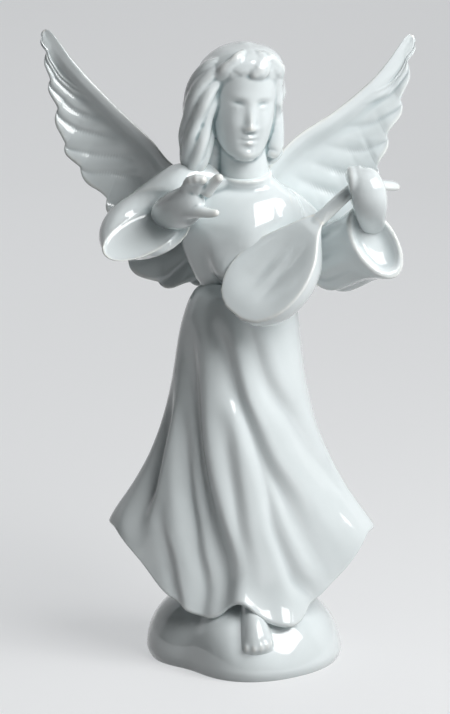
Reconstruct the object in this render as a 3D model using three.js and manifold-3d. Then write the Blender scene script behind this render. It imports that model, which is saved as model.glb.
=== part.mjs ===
// A glazed porcelain angel that plays a lute, modelled as the slip-cast pieces that are luted together.
// Millimetres, +Z up. The figure faces -Y, and the origin is the centre of the flat underside of the base.
// Right and left are the angel's own, so the right side has negative X.
import * as THREE from "three";
import { mergeVertices } from "three/addons/utils/BufferGeometryUtils.js";
import Module from "manifold-3d";

// Driving dimensions

const SEAM = 0.3; // gap that the slip fills at every luted seam
const SLIVER = 0.005; // facets thinner than this are merged

const BASE_RADIUS = 41.6;
const BASE_HEIGHT = 30;
const BASE_TUCK = 1.6; // how far the side rolls in at the floor
const BASE_TUCK_HEIGHT = 5;
const BASE_LEAN = 2; // how far the top of the boulder leans to the right side
const VENT_RADIUS = 4; // firing vent in the underside
const VENT_DEPTH = 10;
const VENT_FROM_CENTRE = 16;

const FOOT_ANGLE = -81; // degrees round the mound from +X, where the front is at -90
const FOOT_TOP = 28.5; // height of the ankle under the hem
const FOOT_TOES = 12.6; // height of the toes' ends
const FOOT_HALF_WIDTH = 6.6;
const FOOT_RISE = 4.8; // how far the instep stands off the mound
const TOE_RADIUS = 1.3;

const WAIST_HEIGHT = 160;
const WAIST_HALF_WIDTH = 19;
const WAIST_HALF_DEPTH = 13.4;
const SPIGOT_RADIUS = 8; // locating stub at the waist seam
const SPIGOT_HEIGHT = 5;

const HEM_HALF_WIDTH = 60; // where the flared side points would meet the floor line of the hem
const HEM_HALF_DEPTH = 32;
const HEM_FRONT_HEIGHT = 23.5;
const HEM_POINT_HEIGHT = 57; // the raised side points
const HEM_TILT = 1.2; // how much higher the right point is than the middle, and the left one lower
const HEM_FLICK = 1.8; // how far the points turn outwards
const HEM_SWELL = 2.8; // how far the hem swells out beside its points
const HEM_LIFT = 8; // extra lift over the bare foot
const SKIRT_LEAN = -2.4; // the bell stands a little to the right side of the middle
const SKIRT_SEAT_RADIUS = 13.4; // of the foot under the bell that stands on the mound
const HEM_WALL = 3.4;
const HEM_HOLLOW = 9; // depth of the hollow under the hem

const BODICE_HEIGHT = 49;
const CHEST_HALF_WIDTH = 25;
const CHEST_FRONT = 17.5;
const CHEST_BACK = 14;
const SHOULDER_SHARE = 0.78; // of the bodice's height
const COLLAR_RADIUS = 10.4;
const COLLAR_DIP = 5; // how much lower the collar is in front
const NECK_RADIUS = 9;
const NECK_LENGTH = 24;

const HEAD_HEIGHT = 43; // chin to crown, without the hair
const HEAD_HALF_WIDTH = 14.2;
const HEAD_HALF_DEPTH = 17;
const HEAD_TURN = 14; // degrees towards the left hand
const HEAD_TILT = 3;
const HEAD_NOD = 5;
const HAIR_OVER = 3.8; // how far the hair stands over the crown
const HAIR_LENGTH = 51; // top to ends
const HAIR_DROP = 4; // how much lower the ends hang on the right side

const SLEEVE_SHOULDER_RADIUS = 10;
const SLEEVE_MOUTH_HALF_LENGTH = 18.6;
const SLEEVE_MOUTH_HALF_WIDTH = 13.6;
const SLEEVE_WALL = 2;
const RIGHT_MOUTH_DEPTH = 1.2;
const LEFT_MOUTH_DEPTH = 3;

const FINGER_RADIUS = 2.6;
const RIGHT_THUMB_RADIUS = 3.6;
const LEFT_THUMB_RADIUS = 2;
const PALM_THICKNESS = 4.6;
const PALM_HALF_WIDTH = 7;

const WING_ROOT_OFFSET = 8; // half the distance between the two wing roots
const WING_SWEEP = 0.27; // how far a wing runs back for each millimetre outwards
const WING_EDGE_THICKNESS = 6; // at the leading edge
const WING_FEATHER_THICKNESS = 2.4;
const WING_BAND = 6; // width of the thick leading edge
const WING_SINK = 3; // how far the root goes into the back
const SCALLOP = 0.14; // bulge of a feather's end past its notches, as a share of its width

const LUTE_LENGTH = 51;
const LUTE_HALF_WIDTH = 17.4;
const LUTE_DEPTH = 17;
const BOARD_DISH = 1.4; // hollow of the board inside its rim
const LUTE_NECK_HALF_WIDTH = 3.2;
const LUTE_NECK_THICKNESS = 4.2;
const LUTE_NECK_END = 74; // from the bottom of the body to the nut
const LUTE_NECK_SET = -2; // how far the neck leaves the body to the right of its middle line
const LUTE_TENON = 6; // part of the neck that is let into the body
const PEGBOX_LENGTH = 26;
const PEGBOX_BEND = 62; // degrees back from the neck

// Colours and finish

const GLAZE = { color: 0xdfe3e4, roughness: 0.12, metalness: 0 };

// Small tools

const TURN = 2 * Math.PI;
const radians = THREE.MathUtils.degToRad;
const point = (x, y, z) => new THREE.Vector3(x, y, z);
const mix = THREE.MathUtils.lerp;
const ease = THREE.MathUtils.smoothstep;
const bell = (distance, width) => Math.exp(-((distance / width) ** 2));

const wasm = await Module();
wasm.setup();

// A smooth curve through [key, value] pairs, which stays level outside the first and last key.
function keyed(pairs) {
  const slope = (i) => {
    if (i === 0 || i === pairs.length - 1) return 0;
    const [before, after] = [pairs[i - 1], pairs[i + 1]];
    return (after[1] - before[1]) / (after[0] - before[0]);
  };
  return (key) => {
    if (key <= pairs[0][0]) return pairs[0][1];
    if (key >= pairs.at(-1)[0]) return pairs.at(-1)[1];
    const i = pairs.findIndex((pair) => key < pair[0]) - 1;
    const span = pairs[i + 1][0] - pairs[i][0];
    const t = (key - pairs[i][0]) / span;
    const [t2, t3] = [t * t, t * t * t];
    return (
      (2 * t3 - 3 * t2 + 1) * pairs[i][1] +
      (t3 - 2 * t2 + t) * span * slope(i) +
      (3 * t2 - 2 * t3) * pairs[i + 1][1] +
      (t3 - t2) * span * slope(i + 1)
    );
  };
}

// Evenly spaced shares from 0 to 1.
const shares = (count) => Array.from({ length: count + 1 }, (_, i) => i / count);

// Angles of a ring, in radians.
const ringAngles = (count) => shares(count).slice(0, -1).map((share) => share * TURN);

// The angle from b to a, between minus and plus half a turn.
const angleBetween = (a, b) => Math.atan2(Math.sin(a - b), Math.cos(a - b));

// Distance from the middle of a superellipse to its edge: 2 is an ellipse, less is pointed at the ends.
function superRadius(angle, halfWidth, halfDepth, power) {
  const across = Math.abs(Math.cos(angle)) / halfWidth;
  const along = Math.abs(Math.sin(angle)) / halfDepth;
  return (across ** power + along ** power) ** (-1 / power);
}

// Turns the faces outwards if they enclose a negative volume.
function facingOut(geometry) {
  const at = geometry.getAttribute("position");
  const index = geometry.index.array;
  const [a, b, c] = [point(), point(), point()];
  let volume = 0;
  for (let i = 0; i < index.length; i += 3) {
    a.fromBufferAttribute(at, index[i]);
    b.fromBufferAttribute(at, index[i + 1]);
    c.fromBufferAttribute(at, index[i + 2]);
    volume += a.dot(b.cross(c));
  }
  if (volume < 0) index.reverse();
  return geometry;
}

// One closed skin over rings of equally many points, with a fan over the first and the last ring.
function loft(rings) {
  const count = rings[0].length;
  const points = rings.flat();
  const index = [];
  for (let i = 0; i + 1 < rings.length; i++)
    for (let j = 0; j < count; j++) {
      const a = i * count + j;
      const b = i * count + ((j + 1) % count);
      index.push(a, b, b + count, a, b + count, a + count);
    }
  for (const first of [0, rings.length - 1]) {
    const middle = rings[first].reduce((sum, p) => sum.add(p), point(0, 0, 0)).divideScalar(count);
    points.push(middle);
    for (let j = 0; j < count; j++) {
      const edge = [first * count + j, first * count + ((j + 1) % count)];
      if (first === 0) edge.reverse();
      index.push(points.length - 1, ...edge);
    }
  }
  return facingOut(new THREE.BufferGeometry().setFromPoints(points).setIndex(index));
}

// A ring about a middle, spanned by two half-axis vectors.
function ovalRing(middle, across, along, count) {
  return ringAngles(count).map((angle) =>
    middle.clone().addScaledVector(across, Math.cos(angle)).addScaledVector(along, Math.sin(angle)),
  );
}

// A rounded limb through points: its radius follows a curve, and flat widens it along a side vector.
// Its rings stand closer near the ends, where it rounds off.
const LIMB_TIP = 0.06; // share of the end's quarter turn that the closing fan covers
const LIMB_ROUNDING = 10; // the higher, the blunter the ends
function limb(path, radius, { sides = 8, steps = 8, side = null, flat = 1 } = {}) {
  const curve = new THREE.CatmullRomCurve3(path);
  const frames = curve.computeFrenetFrames(steps * 4);
  const rings = [];
  for (let i = 0; i <= steps; i++) {
    const share = (1 - Math.cos(Math.PI * mix(LIMB_TIP, 1 - LIMB_TIP, i / steps))) / 2;
    const frame = Math.round(share * steps * 4);
    const tangent = curve.getTangentAt(share);
    const across = side
      ? side.clone().addScaledVector(tangent, -side.dot(tangent)).normalize()
      : frames.normals[frame].clone();
    const along = tangent.clone().cross(across).normalize();
    const round = Math.sqrt(1 - (2 * share - 1) ** LIMB_ROUNDING);
    const size = radius(share) * round;
    across.setLength(size * flat);
    along.setLength(size);
    rings.push(ovalRing(curve.getPointAt(share), across, along, sides));
  }
  return loft(rings);
}

// An egg-shaped ball with its own half-axes.
function ball(middle, halfAxes, sides = 10) {
  return new THREE.SphereGeometry(1, sides, Math.max(4, sides / 2))
    .scale(halfAxes.x, halfAxes.y, halfAxes.z)
    .translate(middle.x, middle.y, middle.z);
}

function bare(geometry) {
  const copy = geometry.clone();
  for (const name of ["normal", "uv"]) copy.deleteAttribute(name);
  return mergeVertices(copy, 1e-4);
}

function solidOf(geometry) {
  const merged = bare(geometry);
  return new wasm.Manifold(
    new wasm.Mesh({
      numProp: 3,
      vertProperties: new Float32Array(merged.attributes.position.array),
      triVerts: new Uint32Array(merged.index.array),
    }),
  );
}

// A solid's skin, without the slivers that a cut or a join may leave.
function geometryOf(solid) {
  const mesh = solid.simplify(SLIVER).getMesh();
  return new THREE.BufferGeometry()
    .setAttribute("position", new THREE.BufferAttribute(new Float32Array(mesh.vertProperties), 3))
    .setIndex(new THREE.BufferAttribute(new Uint32Array(mesh.triVerts), 1));
}

const joined = (...parts) => geometryOf(parts.map(solidOf).reduce((sum, part) => sum.add(part)));

// The largest body of a solid: carving may leave crumbs.
const mainBody = (solid) =>
  solid.decompose().reduce((best, body) => (body.volume() > best.volume() ? body : best));

const without = (geometry, ...tools) =>
  geometryOf(mainBody(tools.map(solidOf).reduce((left, tool) => left.subtract(tool), solidOf(geometry))));

// The same skin moved out along its normals.
function grown(geometry, distance) {
  const skin = bare(geometry);
  skin.computeVertexNormals();
  const at = skin.getAttribute("position");
  const normals = skin.getAttribute("normal");
  for (let i = 0; i < at.count; i++) {
    const moved = point().fromBufferAttribute(at, i);
    moved.addScaledVector(point().fromBufferAttribute(normals, i), distance);
    at.setXYZ(i, moved.x, moved.y, moved.z);
  }
  return skin;
}

function piece(name, geometry) {
  const mesh = new THREE.Mesh(geometry, new THREE.MeshStandardMaterial({ ...GLAZE }));
  mesh.name = name;
  return mesh;
}

// Cuts a seat for each neighbour, with the seam's gap around it. Both stand where their groups put them.
function seat(mesh, ...neighbours) {
  figure.updateMatrixWorld(true);
  const home = mesh.matrixWorld.clone().invert();
  const tools = neighbours.map((other) =>
    grown(bare(other.geometry).applyMatrix4(other.matrixWorld), SEAM).applyMatrix4(home),
  );
  mesh.geometry = without(mesh.geometry, ...tools);
}

// Base: a boulder with steep rounded sides, a flat underside and a firing vent

const moundRadius = (z) => {
  const dome = (1 - Math.min(1, z / BASE_HEIGHT) ** 2.2) ** (1 / 3);
  const tuck = BASE_TUCK * Math.max(0, 1 - z / BASE_TUCK_HEIGHT) ** 2;
  return BASE_RADIUS * dome - tuck;
};

// Footprint: a circle with a bulge at the front and a flattened side at the front right.
const moundSway = (angle) => {
  const bulge = 0.05 * bell(angleBetween(angle, radians(-85)), radians(24));
  const flat = 0.15 * bell(angleBetween(angle, radians(-133)), radians(24));
  return 1 + bulge - flat;
};

// A point on the mound's skin: its sections move sideways with height.
function moundPoint(angle, z) {
  const radius = moundRadius(z) * moundSway(angle);
  const lean = -BASE_LEAN * (z / BASE_HEIGHT);
  return point(radius * Math.cos(angle) + lean, radius * Math.sin(angle), z);
}

function moundGeometry() {
  const levels = [0, 0.05, 0.11, 0.2, 0.34, 0.5, 0.65, 0.79, 0.9, 0.965, 0.995];
  const rings = levels.map((level) => ringAngles(30).map((angle) => moundPoint(angle, level * BASE_HEIGHT)));
  const vent = new THREE.CylinderGeometry(VENT_RADIUS, VENT_RADIUS, 2 * VENT_DEPTH, 20)
    .rotateX(Math.PI / 2)
    .translate(0, VENT_FROM_CENTRE, 0);
  return without(loft(rings), vent);
}

// Foot: lies on the mound's front slope and comes out from under the hem

// A point off the mound: across is in half widths of the foot, along runs from 0 at the ankle to 1 at the
// toes.
function footPoint(across, along, rise) {
  const angle = radians(FOOT_ANGLE) + (across * FOOT_HALF_WIDTH) / BASE_RADIUS;
  const z = mix(FOOT_TOP, FOOT_TOES, along);
  const step = 0.01;
  const round = moundPoint(angle + step, z).sub(moundPoint(angle - step, z));
  const upwards = moundPoint(angle, z + step).sub(moundPoint(angle, z - step));
  return moundPoint(angle, z).addScaledVector(round.cross(upwards).normalize(), rise);
}

function footGeometry() {
  const EDGE_SINK = 1; // how far the foot's edges lie inside the mound before its seat is cut
  const SOLE_SINK = 3;
  const instep = keyed([[-0.1, 1], [0.3, 0.98], [0.6, 0.88], [0.84, 0.72], [1, 0.38], [1.12, -0.1]]);
  const width = keyed([[-0.1, 1.1], [0.4, 1.08], [0.75, 1.14], [1, 1.12]]);
  const acrossPlaces = shares(10).map((share) => mix(-1.15, 1.15, share));
  const rings = shares(8).map((share) => {
    const along = mix(-0.08, 1.12, share);
    const top = acrossPlaces.map((across) => {
      const round = Math.max(0, 1 - (across / width(along)) ** 2);
      return footPoint(across, along, (FOOT_RISE * instep(along) + EDGE_SINK) * round - EDGE_SINK);
    });
    return [...top, ...acrossPlaces.toReversed().map((across) => footPoint(across, along, -SOLE_SINK))];
  });
  // Each toe's place across, its reach and its size: the big toe is on the inner side.
  const toePlaces = [
    [-0.72, 0.95, 1.3], [-0.3, 1, 1.05], [0.06, 0.99, 1], [0.4, 0.95, 0.95], [0.7, 0.89, 0.9],
  ];
  const toes = toePlaces.map(([across, reach, size]) => {
    const radius = size * TOE_RADIUS;
    return ball(footPoint(across, reach, radius), point(radius, 1.2 * radius, 1.5 * radius), 8);
  });
  return joined(loft(rings), ...toes);
}

// Skirt: an oval bell whose sides flare to two raised points, with swirling folds

// Valleys between the folds. A line holds [share of the way down, degrees from +X], a depth holds [share of
// the way down, millimetres], and the widths to its right and left are in degrees. The front is at -90.
const FRONT_FOLDS = [
  {
    line: [[0.1, -158], [0.24, -150], [0.44, -137], [0.63, -122], [0.81, -108.5], [0.97, -105]],
    depth: [[0.08, 0], [0.25, 2.6], [0.5, 4.4], [0.75, 5.2], [0.88, 4.2], [1, 2.6]],
    right: 15,
    left: 8,
  },
  {
    line: [[0.1, -120], [0.17, -111], [0.33, -93], [0.51, -66], [0.64, -49], [0.77, -39], [1, -31]],
    depth: [[0.06, 0], [0.2, 2.2], [0.5, 3.2], [0.8, 3], [1, 2.2]],
    right: 11,
    left: 6.5,
  },
  {
    line: [[0.1, -77], [0.275, -58], [0.44, -33], [0.62, -19], [0.8, -9], [1, -7]],
    depth: [[0.06, 0], [0.2, 1.8], [0.5, 2.6], [0.8, 2.4], [1, 0.5]],
    right: 11,
    left: 6.5,
  },
  {
    line: [[0.35, -110], [0.49, -103], [0.64, -95], [0.88, -90]],
    depth: [[0.3, 0], [0.55, 1.6], [0.75, 1.8], [0.92, 0.6]],
    right: 7,
    left: 7,
  },
  {
    line: [[0.45, -75], [0.615, -65], [0.72, -60.5], [0.88, -52], [1, -41]],
    depth: [[0.42, 0], [0.65, 2], [0.85, 2.8], [1, 2.2]],
    right: 7,
    left: 5.5,
  },
  {
    line: [[0.4, -169], [0.58, -168.5], [0.75, -166.5], [0.92, -166]],
    depth: [[0.36, 0], [0.55, 2.6], [0.75, 6], [0.87, 3], [0.96, 0.4], [1, 0]],
    right: 5.5,
    left: 5.5,
  },
  {
    line: [[0.4, -155], [0.52, -147], [0.655, -138], [0.82, -128.5], [0.94, -123]],
    depth: [[0.35, 0], [0.55, 2.8], [0.7, 4], [0.85, 3], [1, 1.8]],
    right: 7,
    left: 6,
  },
];

// The folds of the back repeat with little change: their angles at the waist, half way and at the hem.
const BACK_FOLDS = [
  [2, 12, 22], [32, 38, 50], [62, 70, 79], [94, 99, 107], [126, 129, 134], [156, 156, 158],
].map(([top, middle, hem]) => ({
  line: [[0, top], [0.5, middle], [1, hem]],
  depth: [[0.18, 0], [0.6, 3.4], [1, 3]],
  right: 8,
  left: 8,
}));
const SKIRT_FOLDS = [...FRONT_FOLDS, ...BACK_FOLDS].map((fold) => ({
  ...fold,
  line: keyed(fold.line),
  depth: keyed(fold.depth),
}));

// How far a fold moves the skin in: a valley with its own width to either side, and a low crest on its left.
function foldDepth(fold, angle, down) {
  const away = THREE.MathUtils.radToDeg(angleBetween(angle, radians(fold.line(down))));
  const spread = mix(1.5, 1, ease(down, 0.1, 0.6));
  const valley = bell(away, spread * (away < 0 ? fold.right : fold.left));
  const crest = 0.22 * bell(away - 1.7 * spread * fold.left, 0.8 * spread * fold.left);
  return fold.depth(down) * (valley - crest);
}

// The angle from the nearer of the hem's two side points.
const fromPoint = (angle) => Math.acos(Math.abs(Math.cos(angle)));

// Height of the hem: raised to a point at each side and over the foot, with a low lobe at either side of the
// foot.
const hemHeight = (angle) => {
  const points = 1 / (1 + (fromPoint(angle) / radians(26)) ** 3);
  const lift = HEM_LIFT * bell(angleBetween(angle, radians(-94)), radians(13));
  const rightLobe = 1.2 * bell(angleBetween(angle, radians(-122)), radians(15));
  const leftLobe = 3.4 * bell(angleBetween(angle, radians(-58)), radians(15));
  const pointHeight = HEM_POINT_HEIGHT - HEM_TILT * Math.cos(angle);
  return mix(HEM_FRONT_HEIGHT, pointHeight, points) + lift - rightLobe - leftLobe;
};

// Shares of the hem's half width and half depth, by height from the hem line up to the waist.
const skirtWidth = keyed([
  [0, 1], [0.13, 0.985], [0.225, 0.92], [0.38, 0.72], [0.53, 0.57], [0.68, 0.478], [0.867, 0.415],
  [0.945, 0.37], [1, WAIST_HALF_WIDTH / HEM_HALF_WIDTH],
]);
const skirtDepth = keyed([
  [0, 1], [0.24, 0.94], [0.47, 0.82], [0.63, 0.71], [0.845, 0.57], [0.945, 0.5],
  [1, WAIST_HALF_DEPTH / HEM_HALF_DEPTH],
]);
const skirtPower = keyed([[0, 1.5], [0.3, 1.55], [0.6, 1.9], [1, 2]]);

// A point on the bell's skin: down runs from 0 at the waist to 1 at the hem.
function skirtPoint(angle, down) {
  const z = mix(WAIST_HEIGHT, hemHeight(angle), down);
  const up = (z - HEM_FRONT_HEIGHT) / (WAIST_HEIGHT - HEM_FRONT_HEIGHT);
  const halfWidth = HEM_HALF_WIDTH * skirtWidth(up);
  const halfDepth = HEM_HALF_DEPTH * skirtDepth(up);
  let radius = superRadius(angle, halfWidth, halfDepth, skirtPower(up));
  for (const fold of SKIRT_FOLDS) radius -= foldDepth(fold, angle, down);
  radius += HEM_FLICK * bell(fromPoint(angle), radians(7)) * ease(down, 0.7, 1);
  radius += HEM_SWELL * bell(fromPoint(angle) - radians(13), radians(8)) * ease(down, 0.75, 1);
  const lean = SKIRT_LEAN * (1 - 0.6 * ease(z, WAIST_HEIGHT - 25, WAIST_HEIGHT)) * ease(z, 40, 65);
  return point(radius * Math.cos(angle) + lean, radius * Math.sin(angle), z);
}

// How far a fold that ends at an angle of the hem has swung round since the waist, in degrees by that angle.
const skirtSwirl = keyed([
  [-180, 2], [-166, 4], [-123, 40], [-105, 53], [-60, 80], [-31, 88], [-7, 70], [22, 20], [50, 18],
  [107, 13], [180, 2],
]);

function skirtGeometry() {
  // Columns of the mesh from the right point round the front: [first degree, last degree, count].
  const spans = [[-180, -20, 36], [-20, 0, 6], [0, 30, 8], [30, 180, 15]];
  const angles = spans.flatMap(([first, last, count]) =>
    shares(count).slice(0, -1).map((share) => radians(mix(first, last, share))),
  );
  // The columns of the mesh swing round with the folds, so that a few faces show them.
  const swung = (angle, down) => {
    const fromX = THREE.MathUtils.radToDeg(angleBetween(angle, 0));
    return angle - radians(skirtSwirl(fromX)) * ease(1 - down, 0.1, 1);
  };
  const skin = shares(15).map((down) => angles.map((angle) => skirtPoint(swung(angle, down), down)));
  // Under the hem the wall turns in, the hollow rises and a broad foot comes down onto the mound.
  const rim = (angle) => {
    const edge = skirtPoint(angle, 1);
    const reach = Math.hypot(edge.x, edge.y);
    return { edge, inner: (reach - HEM_WALL) / reach };
  };
  const under = [
    { share: 1, rise: 0 },
    { share: 0.84, rise: HEM_HOLLOW },
    { share: 0.58, rise: HEM_HOLLOW },
  ].map(({ share, rise }) =>
    angles.map((angle) => {
      const { edge, inner } = rim(angle);
      const size = inner * share;
      const z = mix(edge.z, HEM_FRONT_HEIGHT + 2, 1 - share) + rise;
      return point(edge.x * size, edge.y * size, z);
    }),
  );
  const seatHeight = 0.86 * BASE_HEIGHT;
  const seatRing = angles.map((angle) =>
    point(SKIRT_SEAT_RADIUS * Math.cos(angle), SKIRT_SEAT_RADIUS * Math.sin(angle), seatHeight),
  );
  const spigot = new THREE.CylinderGeometry(SPIGOT_RADIUS * 0.9, SPIGOT_RADIUS, 2 * SPIGOT_HEIGHT, 20)
    .rotateX(Math.PI / 2)
    .translate(0, 0, WAIST_HEIGHT);
  return joined(loft([...skin, ...under, seatRing]), spigot);
}

// Bodice: from the waist seam to the collar, with a socket for the neck. Heights are above the waist.

// Half widths, and depths to the front and back, by the share of the bodice's height.
const bodiceCurve = (size, waist, pairs) =>
  keyed([[0, waist], ...pairs.map(([level, share]) => [level, size * share]), [1, COLLAR_RADIUS]]);
const bodiceRight = bodiceCurve(CHEST_HALF_WIDTH, WAIST_HALF_WIDTH + 1.2, [
  [0.1, 0.9], [0.32, 1.07], [0.5, 1.04], [0.64, 0.96], [0.76, 0.82], [0.88, 0.56],
]);
const bodiceLeft = bodiceCurve(CHEST_HALF_WIDTH, WAIST_HALF_WIDTH - 1, [
  [0.1, 0.84], [0.3, 0.98], [0.5, 1], [0.64, 0.94], [0.76, 0.82], [0.88, 0.56],
]);
const bodiceFront = bodiceCurve(CHEST_FRONT, WAIST_HALF_DEPTH - 2, [
  [0.05, 0.74], [0.14, 0.95], [0.36, 1], [0.58, 0.95], [0.76, 0.75], [0.88, 0.58],
]);
const bodiceBack = bodiceCurve(CHEST_BACK, WAIST_HALF_DEPTH - 1.4, [
  [0.1, 0.91], [0.4, 1], [0.62, 1], [0.76, 0.89], [0.88, 0.69],
]);
const WAIST_GAP = 1.2 * SEAM; // clear of the skirt's top, so that only the spigot cuts into the bodice
const PANEL_BLOUSE = 3; // how far the front panel hangs over the waist
const SIDE_HOLLOW = 4.2; // depth of the fold beside the panel

// A point on the bodice: a hollow runs down the right of the front panel, and the collar dips in front.
function bodicePoint(angle, level) {
  const halfWidth = Math.cos(angle) < 0 ? bodiceRight(level) : bodiceLeft(level);
  const depth = Math.sin(angle) < 0 ? bodiceFront(level) : bodiceBack(level);
  const hollowAngle = radians(mix(-146, -158, level / 0.4));
  const hollow = bell(angleBetween(angle, hollowAngle), radians(20)) * (1 - ease(level, 0.2, 0.66));
  const panel = bell(angleBetween(angle, radians(-114)), radians(22)) * bell(level - 0.1, 0.13);
  const radius = superRadius(angle, halfWidth, depth, 2.1) - SIDE_HOLLOW * hollow + PANEL_BLOUSE * panel;
  const dip = COLLAR_DIP * ease(level, 0.7, 1) * (0.5 - 0.5 * Math.sin(angle));
  const z = mix(WAIST_GAP, BODICE_HEIGHT, level) - dip;
  return point(radius * Math.cos(angle), radius * Math.sin(angle), z);
}

function bodiceGeometry() {
  const levels = [0, 0.05, 0.12, 0.24, 0.4, 0.55, 0.66, 0.75, 0.83, 0.91, 1];
  return loft(levels.map((level) => ringAngles(28).map((angle) => bodicePoint(angle, level))));
}

// Head: a face with soft features, a neck that plugs into the collar, and wavy hair over it.
// The head's own frame has its origin between the ears, with the face towards -Y.

const CHIN = -0.525 * HEAD_HEIGHT;
const CROWN = 0.475 * HEAD_HEIGHT;
const headWidth = keyed([
  [0, 0.28], [0.06, 0.53], [0.17, 0.74], [0.34, 0.89], [0.52, 0.96], [0.71, 1], [0.85, 0.92], [0.94, 0.67],
  [1, 0.28],
]);
const headDepth = keyed([
  [0, 0.24], [0.06, 0.47], [0.17, 0.7], [0.34, 0.85], [0.52, 0.94], [0.71, 1], [0.85, 0.94], [0.94, 0.7],
  [1, 0.3],
]);
const headForward = keyed([[0, 10.5], [0.06, 8], [0.17, 4.5], [0.34, 2], [0.52, 0], [0.71, -1], [1, -1]]);

// How far the face stands out at a place, given in half widths and in heights of the head: the nose, lids,
// cheeks, lips and chin stand proud, and the eyes lie deep.
function faceRelief(across, up) {
  const spot = (atX, atZ, wide, high) => bell(across - atX, wide) * bell(up - atZ, high);
  const pair = (atX, ...rest) => spot(-atX, ...rest) + spot(atX, ...rest);
  const ridge = bell(across, 0.106) * ease(up, -0.223, -0.177) * (1 - ease(up, -0.023, 0.116));
  const noseTip = spot(0, -0.177, 0.113, 0.035);
  const eyes = pair(0.38, 0.014, 0.204, 0.049);
  const lids = pair(0.38, 0.002, 0.141, 0.026);
  const cheeks = pair(0.48, -0.163, 0.246, 0.093);
  const lips = spot(0, -0.288, 0.19, 0.019) + spot(0, -0.33, 0.162, 0.019);
  const chin = spot(0, -0.433, 0.211, 0.051);
  return 2.1 * ridge + 1.2 * noseTip - 1.9 * eyes + 1.3 * lids + 0.7 * cheeks + 1.2 * lips + chin;
}

function skullGeometry() {
  const rings = shares(17).map((share) => {
    const z = mix(CHIN, CROWN, share);
    const halfWidth = HEAD_HALF_WIDTH * headWidth(share);
    const halfDepth = HEAD_HALF_DEPTH * headDepth(share);
    return ringAngles(24).map((angle) => {
      const radius = superRadius(angle, halfWidth, halfDepth, 2.15);
      const [x, y] = [radius * Math.cos(angle), radius * Math.sin(angle)];
      const facing = Math.max(0, -Math.sin(angle)) ** 0.5;
      const relief = facing * faceRelief(x / HEAD_HALF_WIDTH, z / HEAD_HEIGHT);
      return point(x, y - headForward(share) - relief, z);
    });
  });
  return loft(rings);
}

// Hair: one wavy mass from the crown to the shoulders, fuller on the right side. Inside the window of the
// face its skin sinks into the head, and below the chin into the neck. The tables go by the share of the
// hair's length above its ends. They hold half widths and half depths of the head, and degrees of window.
const HAIR_TOP = CROWN + HAIR_OVER;
const HAIR_END = HAIR_TOP - HAIR_LENGTH;
const LOCK_RADIUS = 6.5; // thick lock beside the right cheek
const HAIR_WAVE = 0.7; // height of the waves that run round the hair
const HAIR_WAVE_LENGTH = 18;
const hairRight = keyed([
  [0, 1.66], [0.075, 1.83], [0.19, 1.75], [0.37, 1.845], [0.605, 1.58], [0.74, 1.31], [0.85, 1.2],
  [0.92, 1], [0.97, 0.68], [1, 0.16],
]);
const hairLeft = keyed([
  [0, 1.16], [0.094, 1.295], [0.21, 1.185], [0.466, 1.185], [0.643, 1.27], [0.78, 1.21], [0.88, 1.07],
  [0.94, 0.86], [0.975, 0.58], [1, 0.16],
]);
const hairBack = keyed([
  [0, 0.65], [0.17, 0.85], [0.43, 1.12], [0.68, 1.18], [0.84, 1.06], [0.92, 0.86], [0.97, 0.58],
  [1, 0.14],
]);
const hairFront = keyed([
  [0, 0.53], [0.33, 0.71], [0.68, 0.85], [0.8, 0.95], [0.88, 0.915], [0.937, 0.77], [0.975, 0.52],
  [1, 0.14],
]);
const hairHidden = keyed([[0, 0.25], [0.13, 0.35], [0.29, 0.56], [0.525, 0.78], [0.66, 0.96], [0.8, 0.99]]);
const hairWindow = keyed([
  [0, 68], [0.13, 64], [0.37, 57], [0.5, 52], [0.6, 43], [0.68, 28], [0.73, 12], [0.76, 0],
]);

function hairPoint(angle, share) {
  const halfWidth = HEAD_HALF_WIDTH * (Math.cos(angle) < 0 ? hairRight(share) : hairLeft(share));
  const halfDepth = HEAD_HALF_DEPTH * (Math.sin(angle) < 0 ? hairFront(share) : hairBack(share));
  const fromFront = Math.abs(angleBetween(angle, -Math.PI / 2));
  const wider = 12 * ease(-Math.cos(angle), 0, 0.4) * (1 - ease(share, 0.55, 0.75)); // at the right cheek
  const edge = radians(hairWindow(share) + wider);
  const soft = mix(0.2, 0.7, ease(share, 0.5, 0.74));
  const arch = share + 0.05 * Math.cos(2.4 * angleBetween(angle, radians(-80))); // of the hairline
  const cover = Math.max(ease(fromFront, edge - 0.1, edge + soft), ease(arch, 0.69, 0.86));
  const height = mix(HAIR_END, HAIR_TOP, share);
  const waves = HAIR_WAVE * Math.cos((TURN * height) / HAIR_WAVE_LENGTH + 1.5 * Math.sin(angle) + 0.2);
  const round = superRadius(angle, halfWidth, halfDepth, 2.1) + waves * (1 - ease(share, 0.62, 0.9));
  const radius = mix(HEAD_HALF_WIDTH * hairHidden(share), round, cover);
  const [x, y] = [radius * Math.cos(angle), radius * Math.sin(angle)];
  const slope = 0.16 * Math.min(x, 0) * ease(share, 0.7, 0.95); // the crown falls away to the right
  const drop = HAIR_DROP * ease(-Math.cos(angle), 0.1, 0.8) * (1 - ease(share, 0, 0.2));
  return point(x, y, height + slope - drop);
}

function hairGeometry() {
  const levels = [0, 0.04, 0.12, 0.21, 0.31, 0.42, 0.54, 0.65, 0.75, 0.83, 0.9, 0.95, 0.985, 1];
  return loft(levels.map((level) => ringAngles(38).map((angle) => hairPoint(angle, level))));
}

// A thick wavy lock beside the right cheek: the points that it follows, in half widths, half depths and crown
// heights of the head.
const LOCK_PATH = [
  [-0.98, -0.16, 0.8], [-1.16, -0.1, 0.4], [-1.3, 0, 0], [-1.32, 0.05, -0.45], [-1.31, 0.04, -0.9],
  [-1.26, 0.06, -1.22],
];

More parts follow.
